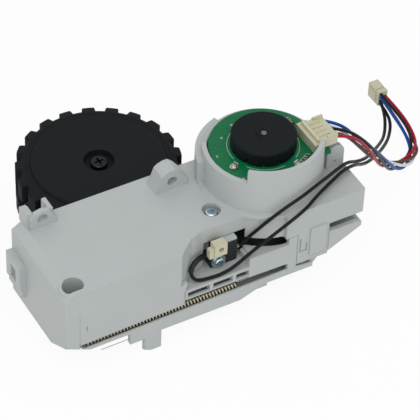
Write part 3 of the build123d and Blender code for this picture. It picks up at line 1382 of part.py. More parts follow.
with BuildPart() as switch_terminals:
    box(15.6, SWITCH_X, -58.9, -58.4, 32.0, 34.0)
    box(SWITCH_RIGHT, 30.3, -58.9, -58.4, 30.9, 32.5)
export(switch_terminals.part, "switch_terminals")

# Tension spring: an open coil, a hook round the anchor and a long hook round the arm's horn
WIRE_R = SPRING_WIRE / 2
HOOK_Z = SPRING_Z + 1.3
ANCHOR_HOOK_R = 1.3
HORN_HOOK_R = 1.8
COIL_TURNS = round((COIL_RIGHT - COIL_LEFT) / SPRING_PITCH)
with BuildLine() as coil_line:
    Helix(
        pitch=SPRING_PITCH,
        height=COIL_TURNS * SPRING_PITCH,
        radius=COIL_R,
        center=(COIL_LEFT, SPRING_Y, SPRING_Z),
        direction=(1, 0, 0),
    )
coil_wire = coil_line.wires()[0]
anchor_x, anchor_y = ANCHOR_AT
with BuildLine() as anchor_line:
    rear_point = (anchor_x, anchor_y + ANCHOR_HOOK_R, HOOK_Z)
    left_point = (anchor_x - ANCHOR_HOOK_R, anchor_y, HOOK_Z)
    front_point = (anchor_x, anchor_y - ANCHOR_HOOK_R, HOOK_Z)
    Spline(coil_wire @ 0, rear_point, tangents=(-(coil_wire % 0), (-1, 0, 0)))
    ThreePointArc(rear_point, left_point, front_point)
horn_x = HORN_AT[0]
horn_y = FRONT + 4.8
with BuildLine() as horn_line:
    bend_point = (coil_wire @ 1).X + 2.2
    front_y = horn_y - HORN_HOOK_R
    Spline(coil_wire @ 1, (bend_point, front_y, HOOK_Z), tangents=(coil_wire % 1, (1, 0, 0)))
    Line((bend_point, front_y, HOOK_Z), (horn_x, front_y, HOOK_Z))
    ThreePointArc(
        (horn_x, front_y, HOOK_Z),
        (horn_x + HORN_HOOK_R, horn_y, HOOK_Z),
        (horn_x, horn_y + HORN_HOOK_R, HOOK_Z),
    )


def swept_wire(line, radius, frenet=False):
    """A round wire swept along a line."""
    with BuildPart() as wire:
        with BuildSketch(Plane(line @ 0, z_dir=line % 0)) as end:
            Circle(radius)
        sweep(end.sketch, path=line, is_frenet=frenet)
    return wire.part


spring_pieces = [
    swept_wire(coil_wire, WIRE_R, frenet=True),
    swept_wire(anchor_line.wires()[0], WIRE_R),
    swept_wire(horn_line.wires()[0], WIRE_R),
]
export(Compound([piece.solid() for piece in spring_pieces]), "tension_spring")

# Wires: the routes of the five motor wires, of the switch's two leads and of the sleeve on one of them
ROUTES = {
    "wire_blue": [
        (76.5, -40.75, 62.7), (83.8, -42.70, 59.9), (91.1, -44.80, 50.3), (101.5, -41.20, 38.1),
        (112.8, -35.20, 22.0), (122.8, -28.20, 7.0), (131.3, -24.00, 0.9), (138.0, -18.20, 1.4),
        (141.0, -9.50, 3.1), (142.2, 2.40, 4.0), (143.2, 15.00, 4.7),
    ],
    "wire_white": [
        (76.5, -43.25, 62.7), (83.0, -44.60, 58.9), (89.7, -45.70, 49.1), (99.8, -40.60, 37.1),
        (111.8, -33.30, 22.3), (123.5, -27.20, 8.5), (132.2, -25.10, 2.4), (139.5, -19.50, 1.0),
        (141.6, -9.70, 1.2), (143.9, 2.40, 2.0), (145.4, 15.00, 1.3),
    ],
    "wire_black": [
        (76.5, -45.75, 62.7), (83.6, -46.60, 59.9), (92.3, -46.20, 51.1), (101.8, -43.20, 37.6),
        (111.7, -36.20, 20.6), (121.4, -27.10, 6.0), (130.7, -22.20, 1.7), (137.8, -18.00, 3.5),
        (142.6, -10.00, 4.4), (143.8, 2.40, 5.3), (143.2, 15.00, 6.4),
    ],
    "wire_brown": [
        (76.5, -48.25, 62.7), (82.7, -48.50, 58.9), (90.1, -47.70, 49.1), (99.1, -42.20, 36.0),
        (110.2, -33.30, 21.1), (122.6, -25.30, 8.5), (132.1, -24.00, 4.2), (140.3, -20.10, 2.8),
        (143.6, -10.30, 1.2), (146.0, 2.40, 2.5), (145.4, 15.00, 3.0),
    ],
    "wire_red": [
        (76.5, -50.75, 62.7), (83.3, -50.50, 59.9), (91.8, -48.00, 50.3), (100.4, -43.80, 36.3),
        (110.1, -35.00, 20.0), (121.3, -25.20, 7.0), (131.2, -22.20, 3.7), (139.3, -19.20, 4.3),
        (144.2, -10.50, 3.1), (145.9, 2.40, 4.4), (145.4, 15.00, 4.7),
    ],
    "switch_lead_upper": [
        (30.3, -58.65, 31.7), (34.0, -59.80, 35.6), (38.5, -63.60, 44.0), (45.6, -65.00, 49.6),
        (53.5, -65.20, 52.8), (60.5, -63.20, 53.6), (67.5, -59.90, 52.2), (74.8, -56.20, 50.7),
        (81.6, -52.80, 48.7), (90.2, -46.90, 40.4), (101.8, -36.80, 29.2), (113.8, -24.70, 18.4),
        (125.2, -12.80, 8.0), (132.6, -4.80, 2.2), (137.2, 1.20, 1.1), (140.8, 7.60, 2.3),
        (143.2, 15.00, 3.0),
    ],
    "switch_lead_lower": [
        (6.7, -62.80, 31.2), (7.0, -63.50, 28.9), (9.0, -64.20, 27.0), (12.6, -64.60, 26.6),
        (19.0, -65.10, 26.6), (25.5, -64.80, 28.0), (31.8, -65.20, 32.8), (38.8, -66.90, 38.8),
        (46.8, -68.10, 44.8), (54.1, -67.40, 47.8), (61.1, -63.90, 48.9), (69.6, -59.90, 49.0),
        (77.2, -56.80, 49.6), (84.8, -53.30, 46.4), (94.8, -45.00, 35.4), (106.7, -33.40, 23.4),
        (118.9, -21.60, 12.6), (129.2, -11.60, 5.6), (135.6, -4.40, 1.2), (140.2, 1.60, 1.0),
        (142.6, 7.80, 1.0), (143.2, 15.00, 1.3),
    ],
    "heat_shrink": [
        (15.6, -58.65, 33.0), (12.4, -60.00, 34.2), (9.5, -61.40, 34.4), (7.3, -62.30, 33.1),
        (6.7, -62.80, 31.2),
    ],
}

# Plug at the far end of the wires, lying on the floor
with BuildPart() as harness_plug:
    box(142.1, 146.5, 15.0, 23.0, 0.3, 7.4)
    box(141.5, 142.1, 17.0, 22.0, 1.6, 6.1)
    box(142.1, 146.5, 17.0, 17.8, 7.0, 7.5, mode=Mode.SUBTRACT)
    box(142.9, 145.7, 21.4, 23.5, 1.0, 6.7, mode=Mode.SUBTRACT)
export(harness_plug.part, "harness_plug")


def route_radii(points):
    """The largest arcs that the runs of a route allow, one for each corner."""
    radii = []
    for a, b, c in zip(points, points[1:], points[2:]):
        first = Vector(*b) - Vector(*a)
        second = Vector(*c) - Vector(*b)
        turn = radians(first.get_angle(second))
        radii.append(0.45 * min(first.length, second.length) / tan(turn / 2))
    return radii


def cord(name, diameter, *ends):
    """A wire's tube along its route, of straight runs joined by tangent arcs, cut flush with what it meets."""
    points = ROUTES[name]
    with BuildLine() as line:
        FilletPolyline(*points, radius=route_radii(points))
    path = line.wires()[0]
    tube = swept_wire(path, diameter / 2)
    drawn = pi * diameter**2 / 4 * path.length
    print(f"{name}: length {path.length:.1f}, least radius {min(route_radii(points)):.1f}, "
          f"volume {tube.volume:.1f} of {drawn:.1f}")
    for end in ends:
        tube = tube - end
    export(tube, name)
    return tube


for wire_name in ("wire_blue", "wire_white", "wire_black", "wire_brown", "wire_red"):
    cord(wire_name, PLUG_WIRE_D, board_plug.part, harness_plug.part)
cord("switch_lead_upper", WIRE_D, switch_terminals.part, harness_plug.part)
sleeve = cord("heat_shrink", SLEEVE_D, switch_terminals.part)
cord("switch_lead_lower", WIRE_D, sleeve, harness_plug.part)
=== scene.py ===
"""Drive wheel module of a robot vacuum: its finishes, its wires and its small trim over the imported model."""

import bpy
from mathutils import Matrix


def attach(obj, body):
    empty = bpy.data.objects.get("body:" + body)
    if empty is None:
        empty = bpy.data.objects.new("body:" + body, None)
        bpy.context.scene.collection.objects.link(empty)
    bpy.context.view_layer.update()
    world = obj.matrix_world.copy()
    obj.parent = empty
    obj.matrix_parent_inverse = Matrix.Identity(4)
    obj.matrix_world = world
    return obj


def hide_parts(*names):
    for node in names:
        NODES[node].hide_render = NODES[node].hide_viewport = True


bl_info = {
    "name": "Drive wheel module",
    "version": (1, 0, 0),
    "blender": (4, 5, 0),
    "location": "3D Viewport > Sidebar > Wheel Module",
    "description": "Finishes, wires and small trim of a robot vacuum's drive wheel module",
    "category": "Object",
}

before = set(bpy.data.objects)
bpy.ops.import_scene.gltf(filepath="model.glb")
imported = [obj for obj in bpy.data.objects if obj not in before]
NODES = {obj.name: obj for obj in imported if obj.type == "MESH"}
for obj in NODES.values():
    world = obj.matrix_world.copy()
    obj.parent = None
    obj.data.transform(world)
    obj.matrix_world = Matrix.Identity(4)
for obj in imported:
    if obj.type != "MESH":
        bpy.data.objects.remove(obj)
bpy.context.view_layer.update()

import math

import bpy
import numpy as np
from mathutils import Matrix, Vector

MM = 0.001

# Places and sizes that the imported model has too, in millimetres and degrees
MOTOR_AXIS = (50.83, -39.21)
BOARD_TOP = 59.4
TYRE_TOP = 40.2
TYRE_BOTTOM = 19.7
TYRE_BORE = 28.0
TREAD_RADIUS = 30.8
TREAD_SHOULDER = 0.8
LUG_COUNT = 21
LUG_START = 96.0 + 180 / LUG_COUNT
LUG_INSET = 0.4
LUG_ROW_GAP = 1.6
LUG_FLANK = 0.32

# Control points of each wire, in millimetres, from the board's plug or the switch to the harness plug
WIRE_POINTS = {
    "wire_blue": [
        (76.5, -40.75, 62.7), (83.8, -42.70, 59.9), (91.1, -44.80, 50.3), (101.5, -41.20, 38.1),
        (112.8, -35.20, 22.0), (122.8, -28.20, 7.0), (131.3, -24.00, 0.9), (138.0, -18.20, 1.4),
        (141.0, -9.50, 3.1), (142.2, 2.40, 4.0), (143.2, 15.00, 4.7),
    ],
    "wire_white": [
        (76.5, -43.25, 62.7), (83.0, -44.60, 58.9), (89.7, -45.70, 49.1), (99.8, -40.60, 37.1),
        (111.8, -33.30, 22.3), (123.5, -27.20, 8.5), (132.2, -25.10, 2.4), (139.5, -19.50, 1.0),
        (141.6, -9.70, 1.2), (143.9, 2.40, 2.0), (145.4, 15.00, 1.3),
    ],
    "wire_black": [
        (76.5, -45.75, 62.7), (83.6, -46.60, 59.9), (92.3, -46.20, 51.1), (101.8, -43.20, 37.6),
        (111.7, -36.20, 20.6), (121.4, -27.10, 6.0), (130.7, -22.20, 1.7), (137.8, -18.00, 3.5),
        (142.6, -10.00, 4.4), (143.8, 2.40, 5.3), (143.2, 15.00, 6.4),
    ],
    "wire_brown": [
        (76.5, -48.25, 62.7), (82.7, -48.50, 58.9), (90.1, -47.70, 49.1), (99.1, -42.20, 36.0),
        (110.2, -33.30, 21.1), (122.6, -25.30, 8.5), (132.1, -24.00, 4.2), (140.3, -20.10, 2.8),
        (143.6, -10.30, 1.2), (146.0, 2.40, 2.5), (145.4, 15.00, 3.0),
    ],
    "wire_red": [
        (76.5, -50.75, 62.7), (83.3, -50.50, 59.9), (91.8, -48.00, 50.3), (100.4, -43.80, 36.3),
        (110.1, -35.00, 20.0), (121.3, -25.20, 7.0), (131.2, -22.20, 3.7), (139.3, -19.20, 4.3),
        (144.2, -10.50, 3.1), (145.9, 2.40, 4.4), (145.4, 15.00, 4.7),
    ],
    "switch_lead_upper": [
        (30.3, -58.65, 31.7), (34.0, -59.80, 35.6), (38.5, -63.60, 44.0), (45.6, -65.00, 49.6),
        (53.5, -65.20, 52.8), (60.5, -63.20, 53.6), (67.5, -59.90, 52.2), (74.8, -56.20, 50.7),
        (81.6, -52.80, 48.7), (90.2, -46.90, 40.4), (101.8, -36.80, 29.2), (113.8, -24.70, 18.4),
        (125.2, -12.80, 8.0), (132.6, -4.80, 2.2), (137.2, 1.20, 1.1), (140.8, 7.60, 2.3),
        (143.2, 15.00, 3.0),
    ],
    "switch_lead_lower": [
        (6.7, -62.80, 31.2), (7.0, -63.50, 28.9), (9.0, -64.20, 27.0), (12.6, -64.60, 26.6),
        (19.0, -65.10, 26.6), (25.5, -64.80, 28.0), (31.8, -65.20, 32.8), (38.8, -66.90, 38.8),
        (46.8, -68.10, 44.8), (54.1, -67.40, 47.8), (61.1, -63.90, 48.9), (69.6, -59.90, 49.0),
        (77.2, -56.80, 49.6), (84.8, -53.30, 46.4), (94.8, -45.00, 35.4), (106.7, -33.40, 23.4),
        (118.9, -21.60, 12.6), (129.2, -11.60, 5.6), (135.6, -4.40, 1.2), (140.2, 1.60, 1.0),
        (142.6, 7.80, 1.0), (143.2, 15.00, 1.3),
    ],
}
SLEEVE_POINTS = [
    (15.6, -58.65, 33.0), (12.4, -60.00, 34.2), (9.5, -61.40, 34.4), (7.3, -62.30, 33.1), (6.7, -62.80, 31.2),
]


def linear(code):
    """An sRGB hex value as the linear numbers that the shader works in."""
    parts = [int(code[i:i + 2], 16) / 255 for i in (0, 2, 4)]
    return tuple(c / 12.92 if c <= 0.04045 else ((c + 0.055) / 1.055) ** 2.4 for c in parts)


def colour_field(label, words, code):
    return bpy.props.FloatVectorProperty(
        name=label, description=words, subtype="COLOR", size=3, min=0.0, max=1.0, default=linear(code)
    )


def length_field(label, words, millimetres):
    return bpy.props.FloatProperty(
        name=label, description=words, unit="LENGTH", min=0.0001, max=0.05, precision=5,
        default=millimetres * MM,
    )


class WheelModuleSizes(bpy.types.PropertyGroup):
    """Sizes of the pieces that this file makes."""

    lug_height: length_field("Lug height", "How far a tread lug stands out of the tread", 2.2)
    wire_diameter: length_field("Motor wire", "Diameter over the insulation of the five motor wires", 1.3)
    lead_diameter: length_field("Switch lead", "Diameter over the insulation of the switch's two leads", 1.4)
    sleeve_diameter: length_field("Shrink sleeve", "Diameter of the shrunk sleeve on the lower lead", 2.2)
    solder_height: length_field("Solder height", "Height of the solder on the motor's terminals", 1.3)
    pad_diameter: length_field("Test pad", "Diameter of the tinned test pads on the board", 1.1)


class WheelModuleColours(bpy.types.PropertyGroup):
    """Colours of the finishes."""

    housing: colour_field("Housing", "Light grey moulded ABS of the cover and the base", "B3B8B7")
    wheel: colour_field("Wheel", "Black moulded ABS of the hub and the encoder drum", "14181A")
    rubber: colour_field("Tyre", "Black tread rubber", "15181A")
    mask: colour_field("Board", "Green solder mask", "07693F")
    nylon: colour_field("Connectors", "Cream nylon", "C6C3A8")
    spring: colour_field("Spring", "Spring wire with a yellow passivation", "B4AF9A")
    blue: colour_field("Blue wire", "Blue insulation", "14489F")
    white: colour_field("White wire", "White insulation", "DCE2E4")
    black: colour_field("Black wire", "Black insulation", "131516")
    brown: colour_field("Brown wire", "Brown insulation", "5E3A33")
    red: colour_field("Red wire", "Red insulation", "A81230")


def sizes():
    return bpy.context.scene.wheel_module_sizes


def colours():
    return bpy.context.scene.wheel_module_colours


# Surfaces


def shell_faces(rows, columns, start, joined):
    """Faces of a grid that closes round its columns. Its two ends are joined to each other, or fanned to a pole
    each."""
    i = np.arange(rows if joined else rows - 1)[:, None]
    j = np.arange(columns)[None, :]
    after = (j + 1) % columns
    above = (i + 1) % rows
    quads = np.stack([i * columns + j, i * columns + after, above * columns + after, above * columns + j], -1)
    quads = quads.reshape(-1, 4) + start
    if joined:
        return quads.tolist()
    j = np.arange(columns)
    after = (j + 1) % columns
    low = np.stack([np.full(columns, rows * columns), after, j], -1) + start
    top = (rows - 1) * columns
    high = np.stack([np.full(columns, rows * columns + 1), top + j, top + after], -1) + start
    return quads.tolist() + low.tolist() + high.tolist()


def make_piece(name, shells, material, body, crease=35.0, joined=False):
    """One object of closed shells. Each shell is an array of rows of points in millimetres, and the poles are
    the means of its end rows."""
    points, faces, start = [], [], 0
    for shell in shells:
        shell = np.asarray(shell, float)
        rows, columns = shell.shape[:2]
        faces += shell_faces(rows, columns, start, joined)
        flat = shell.reshape(-1, 3)
        if not joined:
            flat = np.vstack([flat, shell[0].mean(0), shell[-1].mean(0)])
        points.append(flat)
        start += len(flat)
    mesh = bpy.data.meshes.new(name)
    mesh.from_pydata((np.vstack(points) * MM).tolist(), [], faces)
    mesh.polygons.foreach_set("use_smooth", np.ones(len(mesh.polygons), bool))
    mesh.set_sharp_from_angle(angle=math.radians(crease))
    mesh.update()
    piece = bpy.data.objects.new(name, mesh)
    bpy.context.scene.collection.objects.link(piece)
    mesh.materials.append(material)
    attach(piece, body)
    return piece


def dome(x, y, z, radius_x, radius_y, height, turn=0.0, lumps=0.0, phase=0.0):
    """A solder mound: its radius falls as the cosine and its height rises as the sine of the same angle, and
    the outline swells by a few slow waves round it."""
    climb = np.linspace(0, math.pi / 2 * 0.96, 9)[:, None]
    round_ = np.linspace(0, 2 * math.pi, 28, endpoint=False)[None, :]
    swell = 1 + lumps * (np.sin(2 * round_ + phase) + 0.6 * np.sin(3 * round_ + 2.1 * phase))
    spread = np.cos(climb) ** 0.8 * swell
    a = spread * radius_x * np.cos(round_)
    b = spread * radius_y * np.sin(round_)
    up = z + height * np.sin(climb) ** 1.4 * (1 + 0 * round_)
    c, s = math.cos(turn), math.sin(turn)
    return np.stack([x + a * c - b * s, y + a * s + b * c, up], -1)


def rounded_block(x, y, z, length, width, height, turn=0.0, edge=0.12, corner=0.2):
    """A small moulded block: its plan is a rectangle whose corners are quarter circles, drawn in along a
    quarter circle at its bottom and top edges."""
    quarter = np.linspace(0, math.pi / 2, 4)
    angle = np.concatenate([quarter + k * math.pi / 2 for k in range(4)])
    corner_x = np.repeat([1, -1, -1, 1], 4) * (length / 2 - corner)
    corner_y = np.repeat([1, 1, -1, -1], 4) * (width / 2 - corner)
    roll = np.linspace(0, math.pi / 2, 4)
    inset = np.concatenate([edge * (1 - np.sin(roll)), edge * (1 - np.cos(roll))])[:, None]
    rise = np.concatenate([edge * (1 - np.cos(roll)), height - edge * (1 - np.sin(roll))])[:, None]
    radius = np.maximum(corner - inset, 0.005)
    a = corner_x + radius * np.cos(angle)
    b = corner_y + radius * np.sin(angle)
    c, s = math.cos(turn), math.sin(turn)
    return np.stack([x + a * c - b * s, y + a * s + b * c, z + rise + 0 * a], -1)


def flat_arc(radius, width, height, start, end, z):
    """A printed line of an even width, along an arc about the motor's axis."""
    angle = np.radians(np.linspace(start, end, 25))[:, None]
    reach = radius + width / 2 * np.array([[-1, -1, 1, 1]])
    up = z + height * np.array([[0, 1, 1, 0]]) + 0 * angle
    x, y = MOTOR_AXIS
    return np.stack([x + reach * np.cos(angle), y + reach * np.sin(angle), up], -1)


def tyre_rows(lug_height):
    """The tyre as rows round its section. The section runs in a closed loop from the bore over the bottom, the
    tread and the top. On the tread, the radius is the tread's own plus a lug's: a trapezoid of the angle, times
    a step of the height that rises and falls within a third of a millimetre. The upper row of lugs is half a
    pitch from the lower one."""
    shares = np.array([
        0, 0.05, 0.1, 0.15, 0.18, 0.20, 0.215, 0.23, 0.25, 0.27, 0.285, 0.30, 0.32, 0.36, 0.42,
        0.5, 0.58, 0.64, 0.68, 0.70, 0.715, 0.73, 0.75, 0.77, 0.785, 0.80, 0.82, 0.85, 0.9, 0.95,
    ])
    share = (np.arange(LUG_COUNT)[:, None] + shares[None, :]).ravel()
    angle = np.radians(LUG_START + share * 360 / LUG_COUNT)
    bottom, top = TYRE_BOTTOM, TYRE_TOP
    middle_low, middle_high = (top + bottom - LUG_ROW_GAP) / 2, (top + bottom + LUG_ROW_GAP) / 2
    ends = [bottom + LUG_INSET, middle_low, middle_high, top - LUG_INSET]
    near = np.array([-0.28, -0.16, -0.02, 0.12, 0.3, 0.6])
    tread_z = np.concatenate([
        [bottom + 0.9], ends[0] + 0.35 + near[2:], np.linspace(bottom + 2.4, middle_low - 1.4, 6),
        ends[1] - near[::-1], [(middle_low + middle_high) / 2], ends[2] + near,
        np.linspace(middle_high + 1.4, top - 2.4, 6), ends[3] - 0.35 - near[:1:-1], [top - 0.9],
    ])
    tread_z = np.unique(np.round(np.clip(tread_z, bottom + 0.05, top - 0.05), 3))

    def lug(row_share, low, high):
        off = np.abs((share - row_share + 0.5) % 1.0 - 0.5)[None, :]
        plan = np.interp(off, [0, 0.23, 0.27, 0.30], [1.0, 1.0, 0.68, 0.0])
        rise = np.clip((tread_z - low) / LUG_FLANK + 0.5, 0, 1)
        rise = rise * np.clip((high - tread_z) / LUG_FLANK + 0.5, 0, 1)
        rise = rise * rise * (3 - 2 * rise)
        return plan * rise[:, None]

    lugs = np.maximum(lug(0.0, ends[2], ends[3]), lug(0.5, ends[0], ends[1]))
    edge = np.clip((tread_z - bottom) / TREAD_SHOULDER, 0, 1) * np.clip((top - tread_z) / TREAD_SHOULDER, 0, 1)
    drop = TREAD_SHOULDER * (1 - np.sqrt(1 - (1 - edge) ** 2))
    tread_r = TREAD_RADIUS - drop[:, None] + lug_height * lugs
    plain = np.ones_like(share)[None, :]
    under = np.array([[TYRE_BORE, bottom], [28.6, bottom], [29.9, bottom]])
    over = np.array([
        [29.7, top], [28.9, top], [28.7, top - 0.18], [28.3, top - 0.18], [28.1, top], [27.25, top],
        [27.06, top - 0.2], [27.06, top - 1.38], [TYRE_BORE, top - 1.42], [TYRE_BORE, bottom + 6],
    ])
    radius = np.vstack([under[:, :1] * plain, tread_r, over[:, :1] * plain])
    height = np.concatenate([under[:, 1], tread_z, over[:, 1]])[:, None] + 0 * radius
    return np.stack([radius * np.cos(angle), radius * np.sin(angle), height], -1)


def smooth_line(points, samples=10):
    """Points along the smooth line that a wire of these control points follows, in millimetres."""
    line = wire_curve("route", points, 0.0, samples)
    graph = bpy.context.evaluated_depsgraph_get()
    mesh = bpy.data.meshes.new_from_object(line.evaluated_get(graph))
    found = np.zeros(len(mesh.vertices) * 3)
    mesh.vertices.foreach_get("co", found)
    bpy.data.objects.remove(line)
    bpy.data.meshes.remove(mesh)
    return found.reshape(-1, 3) / MM


def wire_curve(name, points, diameter, samples=10):
    """A round wire on a smooth spline whose control points are the wire's own."""
    line = bpy.data.curves.new(name, "CURVE")
    line.dimensions = "3D"
    spline = line.splines.new("NURBS")
    spline.points.add(len(points) - 1)
    spline.points.foreach_set("co", [c for p in points for c in (p[0] * MM, p[1] * MM, p[2] * MM, 1.0)])
    spline.order_u = 3
    spline.use_endpoint_u = True
    spline.resolution_u = samples
    line.bevel_depth = diameter / 2
    line.bevel_resolution = 4
    line.use_fill_caps = diameter > 0
    piece = bpy.data.objects.new(name, line)
    bpy.context.scene.collection.objects.link(piece)
    return piece


def sleeve_rows(path, diameter):
    """A shrunk sleeve: circles square to the path, whose radius ripples along and round it and draws in towards
    the wire."""
    step = np.gradient(path, axis=0)
    step /= np.linalg.norm(step, axis=1, keepdims=True)
    side = np.cross(step, [0.0, 1.0, 0.0])
    side /= np.linalg.norm(side, axis=1, keepdims=True)
    other = np.cross(step, side)
    along = np.linspace(0, 1, len(path))[:, None]
    turn = np.linspace(0, 2 * math.pi, 24, endpoint=False)[None, :]
    ripple = 1 + 0.035 * np.sin(21 * along + 2 * turn) - 0.05 * np.cos(turn * 2 + 3 * along)
    mouth = 1 - 0.16 * np.clip((along - 0.86) / 0.14, 0, 1) ** 2
    radius = (diameter / MM / 2 * 0.95 * ripple * mouth)[..., None]
    ring = side[:, None, :] * np.cos(turn)[..., None] + other[:, None, :] * np.sin(turn)[..., None]
    return path[:, None, :] + radius * ring


# Finishes


def node(tree, kind, settings=None, links=None):
    """Adds a shader node. Settings name its options, or its sockets with their values, and links name its
    sockets with the outputs that feed them."""
    made = tree.nodes.new(kind)
    for key, value in (settings or {}).items():
        if isinstance(key, str) and hasattr(made, key):
            setattr(made, key, value)
        else:
            made.inputs[key].default_value = value
    for key, source in (links or {}).items():
        tree.links.new(source, made.inputs[key])
    return made


def blend(tree, surface, share, low, high):
    """Feeds the base colour with a mix of two, each a colour or an output, by an output's share."""
    settings, links = {"data_type": "RGBA"}, {0: share}
    for socket, colour in ((6, low), (7, high)):
        if isinstance(colour, tuple):
            settings[socket] = (*colour, 1)
        else:
            links[socket] = colour
    mixed = node(tree, "ShaderNodeMix", settings, links).outputs[2]
    tree.links.new(mixed, surface.inputs["Base Color"])
    return mixed


def noise(tree, place, size, detail, **settings):
    """A noise whose patches have a size in millimetres, as the output of its share."""
    made = node(
        tree, "ShaderNodeTexNoise", {"Scale": 1 / (size * MM), "Detail": detail, **settings}, {"Vector": place}
    )
    return made.outputs["Fac"]


def start_finish(name, colour, roughness, **shader):
    """A new material with its shader, its object coordinates, and its base colour, roughness and the given
    sockets."""
    material = bpy.data.materials.new(name)
    material.use_nodes = True
    tree = material.node_tree
    surface = tree.nodes["Principled BSDF"]
    surface.inputs["Base Color"].default_value = (*colour, 1.0)
    surface.inputs["Roughness"].default_value = roughness
    for key, value in shader.items():
        surface.inputs[key.replace("_", " ")].default_value = value
    place = node(tree, "ShaderNodeTexCoord").outputs["Object"]
    material.diffuse_color = (*colour, 1.0)
    return material, tree, surface, place


def tone(tree, surface, place, colour, size, amount, detail=2.0):
    """Slow variation of a colour over patches of a size in millimetres, a share of amount each way. Returns the
    colour and the patches."""
    patches = noise(tree, place, size, detail)
    low = tuple(max(0.0, c * (1 - amount)) for c in colour)
    high = tuple(min(1.0, c * (1 + amount)) for c in colour)
    return blend(tree, surface, patches, low, high), patches


def rough_range(tree, surface, source, low, high):
    """Roughness between two values, as a noise's middle range gives it."""
    spread = node(
        tree, "ShaderNodeMapRange",
        {"From Min": 0.3, "From Max": 0.7, "To Min": low, "To Max": high}, {"Value": source},
    )
    tree.links.new(spread.outputs["Result"], surface.inputs["Roughness"])


def grain(tree, surface, place, size, depth, strength, below=None, detail=3.0):
    """Bump from a noise whose grains have a size and whose relief has a depth, both in millimetres."""
    speckle = noise(tree, place, size, detail)
    links = {"Height": speckle}
    if below is not None:
        links["Normal"] = below
    bump = node(tree, "ShaderNodeBump", {"Strength": strength, "Distance": depth * MM}, links)
    tree.links.new(bump.outputs["Normal"], surface.inputs["Normal"])
    return speckle


def soft_edges(tree, radius):
    """Edges rounded in the shading by a radius in millimetres, and a mask that is 1 along them."""
    rounded = node(tree, "ShaderNodeBevel", {"samples": 4, "Radius": radius * MM})
    true = node(tree, "ShaderNodeNewGeometry")
    alike = node(
        tree, "ShaderNodeVectorMath", {"operation": "DOT_PRODUCT"},
        {0: rounded.outputs[0], 1: true.outputs["Normal"]},
    )
    mask = node(
        tree, "ShaderNodeMapRange", {"From Min": 0.995, "From Max": 0.88, "To Min": 0.0, "To Max": 1.0},
        {"Value": alike.outputs["Value"]},
    )
    return rounded.outputs[0], mask.outputs["Result"]


def moulded_plastic(name, colour, roughness, grain_size, edge_highlight, edge=0.35, strength=0.25, specular=0.5):
    """Injection moulded plastic: an even colour with faint flow marks, a fine spark-eroded grain, and edges that
    the mould leaves round, painted lighter along them as a highlight."""
    material, tree, surface, place = start_finish(name, colour, roughness, Specular_IOR_Level=specular)
    base = tone(tree, surface, place, colour, 16.0, 0.035)[0]
    rounded, mask = soft_edges(tree, edge)
    # Painted highlight: the bevel's edge mask, at 0.55, mixes the colour towards the highlight colour along edges.
    lighter = node(tree, "ShaderNodeMath", {"operation": "MULTIPLY", 1: 0.55}, {0: mask})
    blend(tree, surface, lighter.outputs[0], base, edge_highlight)
    speckle = grain(tree, surface, place, grain_size, 0.02, strength, rounded)
    rough_range(tree, surface, speckle, roughness - 0.05, roughness + 0.06)
    return material


def tread_rubber(name, colour):
    """Moulded tread rubber: matte black that scatters light broadly, with a dusty bloom in patches and a pebbled
    skin."""
    material, tree, surface, place = start_finish(name, colour, 0.7, Specular_IOR_Level=0.12)
    base = tone(tree, surface, place, colour, 7.0, 0.14)[0]
    dust = noise(tree, place, 1.4, 5.0, Roughness=0.7)
    share = node(
        tree, "ShaderNodeMapRange", {"From Min": 0.55, "From Max": 0.8, "To Min": 0.0, "To Max": 0.22},
        {"Value": dust},
    )
    blend(tree, surface, share.outputs["Result"], base, linear("3A3D3D"))
    grain(tree, surface, place, 0.5, 0.05, 0.35)
    rough_range(tree, surface, dust, 0.6, 0.8)
    return material


def drawn_metal(name, colour, roughness, line_size, stretch, strength=0.2):
    """Drawn or turned metal: fine lines along one direction, made by a noise squeezed to a line's width across
    it, with small changes of gloss between the lines."""
    material, tree, surface, place = start_finish(name, colour, roughness, Metallic=1.0)
    squeezed = node(tree, "ShaderNodeMapping", {"Scale": stretch}, {"Vector": place})
    lines = noise(tree, squeezed.outputs[0], line_size, 3.0)
    blend(tree, surface, lines, tuple(c * 0.86 for c in colour), tuple(colour))
    rough_range(tree, surface, lines, roughness - 0.07, roughness + 0.08)
    bump = node(tree, "ShaderNodeBump", {"Strength": strength, "Distance": 0.01 * MM}, {"Height": lines})
    tree.links.new(bump.outputs[0], surface.inputs["Normal"])
    return material


def plated_screw(name, colour, tint, roughness):
    """Bright zinc plate: a mirror-like metal with a faint blue or rainbow cast that drifts over the head."""
    material, tree, surface, place = start_finish(name, colour, roughness, Metallic=1.0)
    blend(tree, surface, noise(tree, place, 2.2, 1.0), colour, tint)
    speckle = grain(tree, surface, place, 0.3, 0.01, 0.15)
    rough_range(tree, surface, speckle, roughness - 0.05, roughness + 0.08)
    return material


def solder(name, colour):
    """Reflowed solder: bright and slightly wavy, with duller frosted patches."""
    material, tree, surface, place = start_finish(name, colour, 0.25, Metallic=1.0)
    tone(tree, surface, place, colour, 0.8, 0.2)
    speckle = grain(tree, surface, place, 0.45, 0.06, 0.5)
    rough_range(tree, surface, speckle, 0.18, 0.42)
    return material


